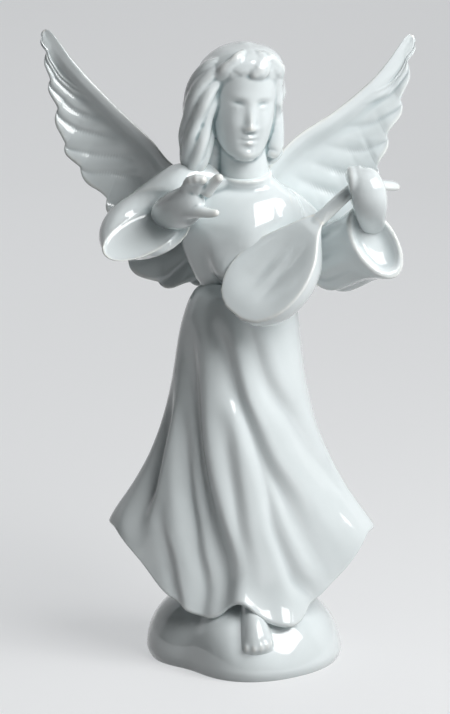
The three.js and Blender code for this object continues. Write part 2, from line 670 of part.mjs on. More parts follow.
// A curl at the left shoulder: the points that it follows, in half widths, half depths and crown heights of
// the head, and its thickest radius.
const CURL_RADIUS = 2.2;
const CURL_PATH = [[1.07, -0.2, -0.7], [1.07, -0.3, -1], [0.85, -0.47, -1.06], [0.65, -0.52, -0.95]];

function headGeometry() {
  const neck = limb(
    [point(0, 1.5, -NECK_LENGTH - 9), point(0, 1, -NECK_LENGTH + 2), point(0, 0, -8)],
    () => NECK_RADIUS,
    { sides: 16, steps: 6 },
  );
  const swell = keyed([[0, 0.55], [0.35, 1], [0.7, 0.9], [1, 0.5]]);
  const headAxes = point(HEAD_HALF_WIDTH, HEAD_HALF_DEPTH, CROWN);
  const places = CURL_PATH.map((place) => point(...place).multiply(headAxes));
  const curl = limb(places, (share) => CURL_RADIUS * swell(share), { sides: 6, steps: 6 });
  const waves = keyed([[0, 0.8], [0.25, 1], [0.42, 1.05], [0.6, 0.88], [0.8, 1.05], [1, 0.7]]);
  const lockPlaces = LOCK_PATH.map((place) => point(...place).multiply(headAxes));
  const lock = limb(lockPlaces, (share) => LOCK_RADIUS * waves(share), { sides: 10, steps: 9 });
  return joined(skullGeometry(), hairGeometry(), neck, curl, lock);
}

// Sleeves: wide horns from the shoulder to a drooping mouth. A station holds the middle of a ring and its
// two half-axis vectors, and the rings between stations follow smooth curves. Heights are above the shoulder.

function stationRings(stations, count, steps) {
  const curves = ["middle", "across", "along"].map(
    (key) => new THREE.CatmullRomCurve3(stations.map((station) => station[key])),
  );
  return shares(steps).map((share) => ovalRing(...curves.map((curve) => curve.getPoint(share)), count));
}

function sleeveGeometry(stations, mouthDepth) {
  const outer = stationRings(stations, 22, 9);
  const mouth = stations.at(-1);
  const inward = mouth.across.clone().cross(mouth.along).normalize();
  const back = stations.at(-2).middle.clone().sub(mouth.middle);
  if (inward.dot(back) < 0) inward.negate();
  const across = mouth.across.length();
  const along = mouth.along.length();
  // The hollow is a flat dish that starts just outside the mouth and closes at its depth.
  const dish = [[-0.3, 1], [0, 1], [0.34, 0.9], [0.63, 0.78], [0.87, 0.6], [1, 0.3]].map(([depth, size]) =>
    ovalRing(
      mouth.middle.clone().addScaledVector(inward, depth * mouthDepth),
      mouth.across.clone().setLength((across - SLEEVE_WALL) * size),
      mouth.along.clone().setLength((along - SLEEVE_WALL) * size),
      22,
    ),
  );
  return without(loft(outer), loft(dish));
}

function rightSleeveGeometry() {
  const stations = [
    {
      middle: point(-0.44 * CHEST_HALF_WIDTH, 1, 4),
      across: point(0.28, -0.94, 0.19).setLength(SLEEVE_SHOULDER_RADIUS),
      along: point(0.54, 0, -0.8).setLength(SLEEVE_SHOULDER_RADIUS),
    },
    {
      middle: point(-26, -2, 0.6),
      across: point(6.5, -10, 4),
      along: point(5, 2.5, -10.4),
    },
    {
      middle: point(-37, -8.5, -8.4),
      across: point(15.4, -8.6, 5.6),
      along: point(4.2, 2.6, -11.4),
    },
    {
      middle: point(-41, -14.4, -12.8),
      across: point(18.4, -2.4, 4.6),
      along: point(3, -3, -12),
    },
    {
      middle: point(-40.6, -19, -15),
      across: point(17.1, 1.5, 3.7).setLength(0.943 * SLEEVE_MOUTH_HALF_LENGTH),
      along: point(2, -8.4, -9.3).setLength(0.933 * SLEEVE_MOUTH_HALF_WIDTH),
    },
  ];
  return sleeveGeometry(stations, RIGHT_MOUTH_DEPTH);
}

function leftSleeveGeometry() {
  const stations = [
    {
      middle: point(0.44 * CHEST_HALF_WIDTH, 1, -1),
      across: point(0.6, -0.2, -0.75).setLength(SLEEVE_SHOULDER_RADIUS),
      along: point(0.2, 0.95, -0.1).setLength(SLEEVE_SHOULDER_RADIUS),
    },
    {
      middle: point(22.5, 1, -16),
      across: point(2.5, -2, -14.6),
      along: point(4.5, 9.5, 1),
    },
    {
      middle: point(35.5, 0, -27.2),
      across: point(2.5, -3, -14),
      along: point(8, 9, 0),
    },
    {
      middle: point(46.4, -10, -22),
      across: point(5.8, -2.6, -13),
      along: point(8.8, 6, 0.6),
    },
    {
      middle: point(53, -18, -18.4),
      across: point(7.9, -1.9, -14.6).setLength(0.9 * SLEEVE_MOUTH_HALF_LENGTH),
      along: point(8.8, 3.1, 2.6).setLength(0.715 * SLEEVE_MOUTH_HALF_WIDTH),
    },
  ];
  return sleeveGeometry(stations, LEFT_MOUTH_DEPTH);
}

// Hands: a palm and five fingers each. Heights are above the shoulder.

function finger(places, radius, tip = 0.8) {
  const taper = keyed([[0, radius], [1, tip * radius]]);
  return limb(places.map((place) => point(...place)), taper, { sides: 7, steps: 6 });
}

function palm(places, swell, side) {
  const path = places.map((place) => point(...place));
  return limb(path, (share) => PALM_THICKNESS * swell(share), {
    sides: 12,
    steps: 8,
    side,
    flat: PALM_HALF_WIDTH / PALM_THICKNESS,
  });
}

function rightHandGeometry() {
  const swell = keyed([[0, 0.85], [0.35, 1.14], [0.65, 1.2], [1, 0.95]]);
  const places = [[-33, -13, -8.6], [-28.8, -23, -5.2], [-24, -31, -0.6], [-19.2, -35, 5]];
  const fingers = [
    [[-16.4, -35, 3.4], [-13.4, -37, 8], [-11, -39.2, 11.2], [-9.6, -41, 11.2]],
    [[-20, -34.6, 4.6], [-18.8, -37, 8.8], [-17.4, -39.6, 10.8], [-16.6, -41.4, 9.6]],
    [[-22, -34, 4.8], [-21, -36.4, 8.8], [-19.8, -39.2, 11], [-18.8, -41.2, 9.8]],
    [[-24, -33, 4], [-23.2, -35.4, 8], [-22, -38.2, 10.2], [-21, -40.2, 9.4]],
  ].map((path) => finger(path, FINGER_RADIUS));
  const thumb = [[-25, -31, -3], [-18.5, -36, -2.6], [-14, -38.4, -3], [-10.4, -40, -2.4]];
  const roundPalm = palm(places, swell, point(0.85, -0.2, -0.5));
  return joined(roundPalm, finger(thumb, RIGHT_THUMB_RADIUS, 0.5), ...fingers);
}

function leftHandGeometry() {
  const swell = keyed([[0, 0.86], [0.2, 0.8], [0.6, 1.04], [0.85, 0.86], [1, 0.6]]);
  const places = [
    [52.6, -8, -15.4], [51.6, -16.4, -9.6], [50.6, -23.2, -2.6], [49.6, -25.6, 4.2], [48, -22.6, 9.2],
    [46, -17.4, 8.8],
  ];
  const fingers = [-1.5, -0.5, 0.5, 1.5].map((place) => {
    const x = 48 + 3 * place;
    const drop = 0.5 * (place - 0.5) ** 2;
    const knuckle = [[x + 0.8, -26.4, 3 - drop], [x, -24.4, 9.4 - drop], [x - 0.6, -19, 11.4 - drop]];
    const tip = [[x - 0.8, -14.6, 8.4 - drop], [x + 0.4, -14, 4.4]];
    return finger([...knuckle, ...tip], FINGER_RADIUS);
  });
  const thumb = [[48, -22, -4.2], [45.6, -19.8, -2.8], [44.2, -16.4, -0.8], [45, -13.4, 1.8]];
  return joined(palm(places, swell, point(1, 0, 0.16)), finger(thumb, LEFT_THUMB_RADIUS), ...fingers);
}

// Wings: a cambered panel with a thick rounded leading edge and round feather ends. Outlines are
// [distance outwards, height above the waist], from the root to the tip. Notches part the feather ends.

const RIGHT_WING = {
  leading: [
    [2, 33], [16, 40], [30.4, 47], [38.8, 56.3], [55.1, 71.4], [71.4, 88.2], [78.6, 97.6], [81.8, 101],
  ],
  notches: [
    [4, 4], [12, -1], [23, -3], [36.5, -3.5], [49.1, 5.3], [54, 18], [58, 30.9], [69.2, 43.6], [75.5, 53.5],
    [78.6, 68.2], [81.6, 80.3], [83.2, 91.7], [85, 98.6],
  ],
};
const LEFT_WING = {
  leading: [
    [2, 33], [10, 47], [22, 59.2], [37.1, 68.6], [51.7, 80.2], [59.3, 88.4], [65.5, 97], [67.4, 99.4],
  ],
  notches: [
    [4, 4], [12, -1], [22, -4], [34, -2], [42, 6], [49, 20], [52.6, 33], [55.6, 44.5], [59.5, 57.5],
    [65.2, 72.5], [68, 88], [70.8, 97],
  ],
};

// Sections along the wing: three for each feather, with the share of the span and how far its end bulges.
function wingSections(notches) {
  const widths = notches.slice(1).map((place, i) => {
    const [before, after] = [notches[i], place];
    return Math.hypot(after[0] - before[0], after[1] - before[1]);
  });
  const whole = widths.reduce((sum, width) => sum + width);
  const perFeather = 3;
  let passed = 0;
  const sections = widths.flatMap((width, i) => {
    const start = passed;
    passed += width;
    return shares(perFeather).slice(0, -1).map((share) => ({
      span: (start + share * width) / whole,
      notch: (i + share) / widths.length,
      bulge: SCALLOP * width * Math.sin(Math.PI * share ** 1.7),
    }));
  });
  return [...sections, { span: 1, notch: 1, bulge: 0 }];
}

function wingGeometry(outline, side) {
  const curveOf = (places) => new THREE.CatmullRomCurve3(places.map(([out, high]) => point(out, 0, high)));
  const [leading, trailing] = [curveOf(outline.leading), curveOf(outline.notches)];
  const chordShares = shares(5).map((share) => mix(0.004, 0.996, share ** 1.5));
  const rings = wingSections(outline.notches).map(({ span, notch, bulge }) => {
    const front = leading.getPointAt(span);
    const rear = trailing.getPoint(notch);
    const along = trailing.getTangent(notch);
    const past = point(along.z, 0, -along.x).multiplyScalar(bulge);
    const chord = front.distanceTo(rear);
    const taper = Math.min(1, (chord + 4) / 24);
    // Down the front of the section from the leading edge to the feather ends, then back up behind.
    const face = (share, out) => {
      const place = front.clone().lerp(rear, share).addScaledVector(past, share ** 5);
      const band = 1 - ease(share * chord, 0.5 * WING_BAND, 1.6 * WING_BAND);
      const thick = taper * mix(WING_FEATHER_THICKNESS, WING_EDGE_THICKNESS, band);
      const round = Math.sqrt(Math.max(0, 1 - (2 * share - 1) ** 10));
      const camber = 0.09 * chord * Math.sin(Math.PI * share);
      const back = CHEST_BACK - WING_SINK + WING_SWEEP * (place.x - WING_ROOT_OFFSET);
      return point(side * place.x, back + camber - out * 0.5 * thick * round, place.z);
    };
    return [
      ...chordShares.map((share) => face(share, 1)),
      ...chordShares.toReversed().map((share) => face(share, -1)),
    ];
  });
  return loft(rings);
}

// Lute: pear-shaped body with a flat board and a round bowl, a neck let into it and a bent pegbox.
// Its own frame has Y along the neck, Z out of the board and its origin at the bottom of the board.

const luteWidth = keyed([
  [0, 0.3], [0.03, 0.5], [0.08, 0.7], [0.2, 0.93], [0.37, 1.02], [0.55, 0.955], [0.72, 0.74], [0.86, 0.46],
  [0.95, 0.3], [1, 0.26],
]);
const luteDeep = keyed([
  [0, 0.2], [0.04, 0.46], [0.14, 0.78], [0.38, 1], [0.65, 0.96], [0.8, 0.78], [0.9, 0.5], [1, 0.37],
]);

function luteBodyGeometry() {
  const rings = [0, 0.03, 0.08, 0.15, 0.24, 0.36, 0.48, 0.6, 0.72, 0.83, 0.92, 1].map((share) => {
    const half = LUTE_HALF_WIDTH * luteWidth(share);
    const deep = LUTE_DEPTH * luteDeep(share);
    const dished = ease(share, 0.08, 0.35) * (1 - ease(share, 0.6, 0.92));
    const set = LUTE_NECK_SET * ease(share, 0.7, 1);
    return ringAngles(24).map((angle) => {
      const rise = Math.sin(angle);
      const side = Math.cos(angle);
      const x = half * Math.sign(side) * Math.abs(side) ** 0.7;
      const dish = BOARD_DISH * (1 - ease(Math.abs(x) / half, 0.2, 0.95)) * dished * ease(rise, 0, 0.5);
      const z = rise > 0 ? 0.5 * rise ** 0.5 - dish : -deep * Math.abs(rise) ** 0.8;
      return point(x + set, share * LUTE_LENGTH, z);
    });
  });
  return loft(rings);
}

function luteNeckGeometry() {
  const bend = radians(PEGBOX_BEND);
  const nut = point(0, LUTE_NECK_END, -0.5 * LUTE_NECK_THICKNESS);
  const pegEnd = nut.clone().add(point(0, Math.cos(bend), -Math.sin(bend)).multiplyScalar(PEGBOX_LENGTH));
  const path = [
    point(LUTE_NECK_SET, LUTE_LENGTH - LUTE_TENON, nut.z),
    point(0.7 * LUTE_NECK_SET, mix(LUTE_LENGTH, LUTE_NECK_END, 0.4), nut.z),
    nut.clone().add(point(0, -3, 0)),
    nut.clone().lerp(pegEnd, 0.16),
    nut.clone().lerp(pegEnd, 0.55),
    pegEnd,
  ];
  const taper = keyed([[0, 1], [0.5, 0.92], [0.7, 0.9], [1, 1]]);
  return limb(path, (share) => 0.5 * LUTE_NECK_THICKNESS * taper(share), {
    sides: 12,
    steps: 16,
    side: point(1, 0, 0),
    flat: (2 * LUTE_NECK_HALF_WIDTH) / LUTE_NECK_THICKNESS,
  });
}

// Assembly: the waist group carries what is above the waist seam, and the shoulders carry the arms and lute

const figure = new THREE.Group();
const waist = new THREE.Group();
waist.position.z = WAIST_HEIGHT;

const shoulders = new THREE.Group();
shoulders.position.z = SHOULDER_SHARE * BODICE_HEIGHT;

const headGroup = new THREE.Group();
headGroup.position.set(-1.5, -1, BODICE_HEIGHT + NECK_LENGTH + 3);
headGroup.rotation.set(radians(HEAD_NOD), radians(HEAD_TILT), radians(HEAD_TURN), "ZYX");

const luteGroup = new THREE.Group();
const neckDirection = point(0.687, 0.192, 0.7).normalize();
const boardFacing = point(-0.37, -0.735, 0.565);
boardFacing.addScaledVector(neckDirection, -boardFacing.dot(neckDirection)).normalize();
const luteAcross = neckDirection.clone().cross(boardFacing);
const luteBasis = new THREE.Matrix4().makeBasis(luteAcross, neckDirection, boardFacing);
luteGroup.quaternion.setFromRotationMatrix(luteBasis);
luteGroup.position.set(-5.2, -CHEST_FRONT - 16.3, -44.5);

const baseMound = piece("base_mound", moundGeometry());
const bareFoot = piece("bare_foot", footGeometry());
const skirt = piece("skirt", skirtGeometry());
const bodice = piece("bodice", bodiceGeometry());
const head = piece("head", headGeometry());
const rightSleeve = piece("right_sleeve", rightSleeveGeometry());
const leftSleeve = piece("left_sleeve", leftSleeveGeometry());
const rightHand = piece("right_hand", rightHandGeometry());
const leftHand = piece("left_hand", leftHandGeometry());
const rightWing = piece("right_wing", wingGeometry(RIGHT_WING, -1));
const leftWing = piece("left_wing", wingGeometry(LEFT_WING, 1));
const luteBody = piece("lute_body", luteBodyGeometry());
const luteNeck = piece("lute_neck", luteNeckGeometry());

headGroup.add(head);
luteGroup.add(luteBody, luteNeck);
shoulders.add(rightSleeve, leftSleeve, rightHand, leftHand, luteGroup);
waist.add(bodice, headGroup, shoulders, rightWing, leftWing);
figure.add(baseMound, bareFoot, skirt, waist);

seat(bareFoot, baseMound);
seat(skirt, baseMound, bareFoot);
seat(luteBody, luteNeck, bodice, skirt);
seat(leftHand, luteNeck);
seat(rightWing, leftWing, head, skirt);
seat(leftWing, head, skirt);
seat(rightSleeve, rightHand, bodice, head, rightWing);
seat(leftSleeve, leftHand, luteNeck, luteBody, bodice, head, leftWing);
seat(bodice, skirt, head, rightWing, leftWing);

export default figure;
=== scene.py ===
"""A glazed porcelain angel with a lute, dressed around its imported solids.

Every piece is a closed surface worked out with numpy in millimetres and put into its mesh in metres. The
figure faces -Y and stands on the floor at the origin. Right and left are the angel's own, so the right side
has negative X. Soft joints, such as locks on the head, are surfaces melted into one skin, as glaze fills
corners.
"""

import bmesh
import bpy
import numpy as np
from mathutils import Matrix, Vector


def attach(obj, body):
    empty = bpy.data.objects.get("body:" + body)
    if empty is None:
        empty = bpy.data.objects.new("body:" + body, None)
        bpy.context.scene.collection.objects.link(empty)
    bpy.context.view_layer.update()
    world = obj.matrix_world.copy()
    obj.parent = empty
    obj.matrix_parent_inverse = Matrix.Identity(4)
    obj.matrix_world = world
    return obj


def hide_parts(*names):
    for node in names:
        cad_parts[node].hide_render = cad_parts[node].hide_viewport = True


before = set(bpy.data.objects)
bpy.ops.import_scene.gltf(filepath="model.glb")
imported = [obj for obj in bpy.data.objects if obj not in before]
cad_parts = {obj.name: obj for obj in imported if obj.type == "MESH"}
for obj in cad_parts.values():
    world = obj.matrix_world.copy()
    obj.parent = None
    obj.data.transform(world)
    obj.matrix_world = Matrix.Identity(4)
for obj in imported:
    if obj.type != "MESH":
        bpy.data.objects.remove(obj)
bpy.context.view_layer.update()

MM = 0.001
PREFIX = "glazed_"  # of a piece's name, before the name of the node that it replaces

# Sizes in millimetres and angles in degrees

BASE_RADIUS = 41.6
BASE_HEIGHT = 30.0
BASE_TUCK = 1.6
BASE_TUCK_HEIGHT = 5.0
BASE_LEAN = 2.0
BASE_BULGE = 0.05  # share of the radius, as is the next
BASE_FLAT = 0.15
BASE_RIDGE = 0.3
BASE_HOLLOW = 0.8
BASE_SLOPE_DENT = 1.9
VENT_RADIUS = 4.0
VENT_DEPTH = 10.0
VENT_FROM_CENTRE = 16.0

FOOT_ANGLE = -81.0
FOOT_TOP = 28.5
FOOT_TOES = 13.0
FOOT_HALF_WIDTH = 7.2
FOOT_EDGE_SINK = 0.8
FOOT_SINK = 3.0
TOE_RISE = 1.3

WAIST_HEIGHT = 160.0
WAIST_HALF_WIDTH = 19.0
WAIST_HALF_DEPTH = 13.4
HEM_HALF_WIDTH = 60.0
HEM_HALF_DEPTH = 32.0
HEM_FRONT_HEIGHT = 23.5
HEM_POINT_HEIGHT = 57.0
HEM_TILT = 1.2
HEM_FLICK = 1.8
HEM_KICK = 9.0
HEM_LOBE_KICK = 3.6
HEM_SIDE_SWELL = 2.8
HEM_LIFT = 8.0
HEM_WALL = 3.4
HEM_HOLLOW = 9.0
SKIRT_LEAN = -2.4
SKIRT_SEAT_RADIUS = 13.4
SKIRT_SEAT_LEVEL = 0.86  # share of the base's height
FOLD_CREST = 0.1  # share of the fold's depth

BODICE_HEIGHT = 49.0
SHOULDER_HEIGHT = 38.2
BODICE_HOLLOW = 4.2
BODICE_BLOUSE = 3.0
BODICE_BUST = 2.0
COLLAR_RADIUS = 10.4
COLLAR_DIP = 5.0
COLLAR_ROLL = 0.7
NECK_RADIUS = 10.2
NECK_LENGTH = 24.0

HEAD_HEIGHT = 43.0
HEAD_HALF_WIDTH = 14.2
HEAD_HALF_DEPTH = 17.0
HEAD_TURN = 14.0
HEAD_TILT = 3.0
HEAD_NOD = 5.0
HAIR_TOP = 24.2
HAIR_LENGTH = 51.0
HAIR_WAVE = 0.7
HAIR_WAVE_LENGTH = 18.0
HAIR_LOCK = 0.5
HAIR_STRAND = 0.13

FINGER_RADIUS = 2.6
PALM_THICKNESS = 4.6
PALM_HALF_WIDTH = 7.0

WING_ROOT_OFFSET = 8.0
WING_ROOT_DEPTH = 11.0
WING_SWEEP = 0.27  # backwards for each millimetre outwards
WING_EDGE_THICKNESS = 8.0
WING_FEATHER_THICKNESS = 2.4
WING_BAND = 6.0
WING_EDGE_ROUNDING = 7.0
WING_FEATHER_ROUNDING = 1.2
WING_GROOVE = 0.3
WING_RIPPLE = 1.3
WING_CAMBER = 0.15  # share of the chord
WING_FEATHER_SWEEP = 0.34  # share of the span
SCALLOP = 0.14  # share of the feather's width

HOLLOW_ROUNDS = 24  # of averaging, about 2 mm to each side

LUTE_LENGTH = 51.0
LUTE_HALF_WIDTH = 17.4
LUTE_DEPTH = 17.0
BOARD_DISH = 1.4
BOARD_GROOVE = 0.6
LUTE_NECK_HALF_WIDTH = 3.2
LUTE_NECK_THICKNESS = 4.2
LUTE_NECK_END = 74.0
LUTE_NECK_SET = -2.0
LUTE_TENON = 6.0
PEGBOX_LENGTH = 26.0
PEGBOX_BEND = 62.0

# Small tools


def ease(value, low, high):
    """Smooth step: 0 below low, 1 above high, 3t^2 - 2t^3 between."""
    t = np.clip((value - low) / (high - low), 0.0, 1.0)
    return t * t * (3.0 - 2.0 * t)


def bell(distance, width):
    """exp(-(distance / width)^2)."""
    return np.exp(-((distance / width) ** 2))


def mix(a, b, share):
    return a + (b - a) * share


def hermite(keys, values, level_ends):
    """Cubic through points, each inner slope being that from its left to its right neighbour."""
    keys, values = np.asarray(keys, float), np.asarray(values, float)
    slopes = np.gradient(values, keys)
    slopes[1:-1] = (values[2:] - values[:-2]) / (keys[2:] - keys[:-2])
    if level_ends:
        slopes[[0, -1]] = 0.0

    def curve(key):
        key = np.clip(key, keys[0], keys[-1])
        i = np.clip(np.searchsorted(keys, key, side="right") - 1, 0, len(keys) - 2)
        span = keys[i + 1] - keys[i]
        t = (key - keys[i]) / span
        start = (2 * t**3 - 3 * t**2 + 1) * values[i] + (t**3 - 2 * t**2 + t) * span * slopes[i]
        end = (3 * t**2 - 2 * t**3) * values[i + 1] + (t**3 - t**2) * span * slopes[i + 1]
        return start + end

    return curve


def keyed(*pairs):
    """Smooth curve through (key, value) pairs that stays level outside them."""
    return hermite([p[0] for p in pairs], [p[1] for p in pairs], True)


def through(places):
    """Smooth path through places: a cubic for each coordinate over the share of the length between them."""
    places = np.array(places, float)
    lengths = np.linalg.norm(np.diff(places, axis=0), axis=1)
    keys = np.concatenate([[0.0], np.cumsum(lengths)]) / lengths.sum()
    curves = [hermite(keys, column, False) for column in places.T]
    return lambda share: np.stack([curve(share) for curve in curves], axis=-1)


def ring_angles(count):
    return np.arange(count) * (2 * np.pi / count)


def apart(angle, other):
    """The angle from other to angle, between minus and plus half a turn."""
    return np.angle(np.exp(1j * (angle - other)))


def bell_at(angle, centre, width):
    """Bell about a direction: the angle is in radians, the centre and the width in degrees."""
    return bell(apart(angle, np.radians(centre)), np.radians(width))


def super_radius(angle, half_width, half_depth, power):
    """Distance from the middle of a superellipse to its edge: power 2 is an ellipse."""
    across = np.abs(np.cos(angle)) / half_width
    along = np.abs(np.sin(angle)) / half_depth
    return (across**power + along**power) ** (-1.0 / power)


def unit(vector):
    vector = np.asarray(vector, float)
    return vector / np.linalg.norm(vector, axis=-1, keepdims=True)


def turned(degrees, axis):
    """Rotation matrix about one axis."""
    return np.array(Matrix.Rotation(np.radians(degrees), 3, axis))


# Surfaces: an array of points and a list of faces


def lofted(rings):
    """Closed skin over rings[i, j]: quads between neighbouring rings, a fan over the first and last ring."""
    rows, count = rings.shape[:2]
    here = np.arange(rows * count).reshape(rows, count)
    beside = np.roll(here, -1, axis=1)
    quads = np.stack([here[:-1], beside[:-1], beside[1:], here[1:]], axis=-1).reshape(-1, 4)
    poles = np.broadcast_to(rows * count + np.arange(2)[:, None], (2, count))
    first = np.stack([beside[0], here[0], poles[0]], axis=-1)
    last = np.stack([here[-1], beside[-1], poles[1]], axis=-1)
    points = np.concatenate([rings.reshape(-1, 3), rings[[0, -1]].mean(axis=1)])
    fans = np.concatenate([first, last])
    a, b, c = (points[quads[:, k]] for k in range(3))
    middle = points.mean(axis=0)
    outward = np.einsum("ij,ij->i", np.cross(b - a, c - a), a - middle).sum()
    if outward < 0:
        quads, fans = quads[:, ::-1], fans[:, ::-1]
    return points, quads.tolist() + fans.tolist()


def oval_rings(middle, across, along, count):
    """Rings about middles, each spanned by two half-axis vectors: m + a cos(angle) + b sin(angle)."""
    angle = ring_angles(count)[None, :, None]
    return middle[:, None] + across[:, None] * np.cos(angle) + along[:, None] * np.sin(angle)


def limb_rings(places, radius, side, flat, sides, steps):
    """The places along a smooth path and the rings about them: ovals of half-axes flat r and r that close
    like a blunt egg."""
    path = through(places)
    share = (1 - np.cos(np.pi * np.linspace(0.02, 0.98, steps))) / 2
    tangent = unit(path(np.minimum(share + 0.01, 1)) - path(np.maximum(share - 0.01, 0)))
    side = unit(side)
    across = unit(side - tangent * (tangent @ side)[:, None])
    along = np.cross(tangent, across)
    size = (radius(share) * np.sqrt(1 - (2 * share - 1) ** 10))[:, None]
    return path(share)[:, None, :], oval_rings(path(share), across * size * flat, along * size, sides)


def limb(places, radius, side=(0.31, 0.2, 0.93), flat=1.0, sides=20, steps=28):
    """Rounded limb along a smooth path."""
    return lofted(limb_rings(places, radius, side, flat, sides, steps)[1])


def moved(surface, matrix, offset):
    """The surface turned by a matrix and then moved."""
    points, faces = surface
    return points @ np.asarray(matrix).T + np.asarray(offset, float), faces


# Meshes


def put(name, data):
    """A new object in the scene."""
    item = bpy.data.objects.new(name, data)
    bpy.context.scene.collection.objects.link(item)
    return item


def mesh_piece(name, *surfaces):
    """One mesh object of closed surfaces, in metres, with smooth shading."""
    points = np.concatenate([surface[0] for surface in surfaces]) * MM
    starts = np.cumsum([0] + [len(surface[0]) for surface in surfaces[:-1]])
    faces = [[v + int(start) for v in face] for start, (_, part) in zip(starts, surfaces) for face in part]
    mesh = bpy.data.meshes.new(PREFIX + name)
    mesh.from_pydata(points, [], faces)
    mesh.shade_smooth()
    return put(PREFIX + name, mesh)


def melted(name, surfaces, voxel, rounds):
    """The surfaces joined into one skin by a voxel remesh, and smoothed until corners fill as with glaze."""
    piece = mesh_piece(name, *surfaces)
    remesh = piece.modifiers.new("join", "REMESH")
    remesh.mode = "VOXEL"
    remesh.voxel_size = voxel * MM
    remesh.use_smooth_shade = True
    soften = piece.modifiers.new("glaze", "SMOOTH")
    soften.factor = 0.5
    soften.iterations = rounds
    bpy.context.view_layer.update()
    evaluated = piece.evaluated_get(bpy.context.evaluated_depsgraph_get())
    raw = piece.data
    piece.data = bpy.data.meshes.new_from_object(evaluated)
    piece.modifiers.clear()
    bpy.data.meshes.remove(raw)
    piece.data.name = piece.name
    return piece


def cut_off(piece, name, point, normal):
    """Cuts the piece by a plane: what lies along the normal becomes a new closed piece, the rest stays."""
    halves = []
    for keep_far in (False, True):
        shell = bmesh.new()
        shell.from_mesh(piece.data)
        cut = bmesh.ops.bisect_plane(
            shell,
            geom=shell.verts[:] + shell.edges[:] + shell.faces[:],
            plane_co=Vector(point) * MM,
            plane_no=Vector(normal),
            clear_inner=keep_far,
            clear_outer=not keep_far,
        )
        seam = [item for item in cut["geom_cut"] if isinstance(item, bmesh.types.BMEdge)]
        for edge in seam:
            edge.smooth = False
        bmesh.ops.holes_fill(shell, edges=seam)
        bmesh.ops.triangulate(shell, faces=[face for face in shell.faces if len(face.verts) > 4])
        mesh = bpy.data.meshes.new(PREFIX + name if keep_far else piece.name)
        shell.to_mesh(mesh)
        shell.free()
        halves.append(mesh)
    piece.data = halves[0]
    return put(PREFIX + name, halves[1])


def mark_hollows(piece):
    """Marks how hollow the skin is at each point: the mean of the point's neighbours less the point, along
    its normal and over the square of the edges' length, then averaged along the edges over some rounds."""
    mesh = piece.data
    count = len(mesh.vertices)
    points, normals = np.empty(3 * count), np.empty(3 * count)
    mesh.vertices.foreach_get("co", points)
    mesh.vertices.foreach_get("normal", normals)
    points, normals = points.reshape(-1, 3) / MM, normals.reshape(-1, 3)
    ends = np.empty(2 * len(mesh.edges), int)
    mesh.edges.foreach_get("vertices", ends)
    ends = ends.reshape(-1, 2)
    here, there = ends.T.ravel(), ends[:, ::-1].T.ravel()
    neighbours = np.bincount(here, minlength=count)

    def averaged(values):
        return np.bincount(here, weights=values[there], minlength=count) / neighbours

    squares = ((points[here] - points[there]) ** 2).sum(axis=1)
    spacing = np.bincount(here, weights=squares, minlength=count) / neighbours
    middles = np.stack([averaged(points[:, axis]) for axis in range(3)], axis=-1)
    hollow = ((middles - points) * normals).sum(axis=1) / spacing
    for _ in range(HOLLOW_ROUNDS):
        hollow = 0.5 * (hollow + averaged(hollow))
    mark = mesh.attributes.new("hollow", "FLOAT", "POINT")
    mark.data.foreach_set("value", hollow)


# Base


def mound_sway(angle):
    """Footprint: a circle with a bulge at the front and a flattened side at the front right."""
    bulge = BASE_BULGE * bell_at(angle, -85, 24)
    flat = BASE_FLAT * bell_at(angle, -133, 24)
    return 1 + bulge - flat + 0.012 * np.cos(3 * angle - 1.1) * ease(np.sin(angle), 0, 0.5)


def mound_point(angle, z):
    """Skin of the boulder: R (1 - (z/H)^2.2)^(1/3), swaying with the angle, rolled in at the floor and
    leaning, with a soft ridge to the right of the foot, a hollow between that ridge and the foot, and a
    flattened slope to the left of the foot."""
    dome = np.maximum(0, 1 - np.minimum(1, z / BASE_HEIGHT) ** 2.2) ** (1 / 3)
    tuck = BASE_TUCK * np.maximum(0, 1 - z / BASE_TUCK_HEIGHT) ** 2
    radius = (BASE_RADIUS * dome - tuck) * mound_sway(angle)
    ridge = BASE_RIDGE * bell_at(angle, -106, 14)
    hollow = BASE_HOLLOW * bell_at(angle, -92, 5)
    dent = BASE_SLOPE_DENT * bell_at(angle, -64, 14) * bell(z - 15, 8)
    radius = radius + ease(z, 6, 16) * (ridge - hollow) - dent
    lean = -BASE_LEAN * z / BASE_HEIGHT
    return np.stack([radius * np.cos(angle) + lean, radius * np.sin(angle), z + 0 * angle], axis=-1)


def make_base():
    """Down the dome from its top to the floor, across the flat underside to the rim of the vent and up it."""
    angle = ring_angles(240)
    down = np.linspace(0.02, 1, 90)[:, None]
    skin = mound_point(angle[None, :], BASE_HEIGHT * (1 - down**1.5))
    floor = skin[-1]
    vent = np.stack(
        [VENT_RADIUS * np.cos(angle), VENT_FROM_CENTRE + VENT_RADIUS * np.sin(angle), 0 * angle], axis=-1
    )
    share = np.linspace(0, 1, 16)[1:, None, None]
    under = floor + (vent - floor) * share
    depth = np.linspace(0, VENT_DEPTH, 6)[1:, None, None] * np.array([0, 0, 1])
    return mesh_piece("base_mound", lofted(np.concatenate([skin, under, vent + depth])))


# Foot


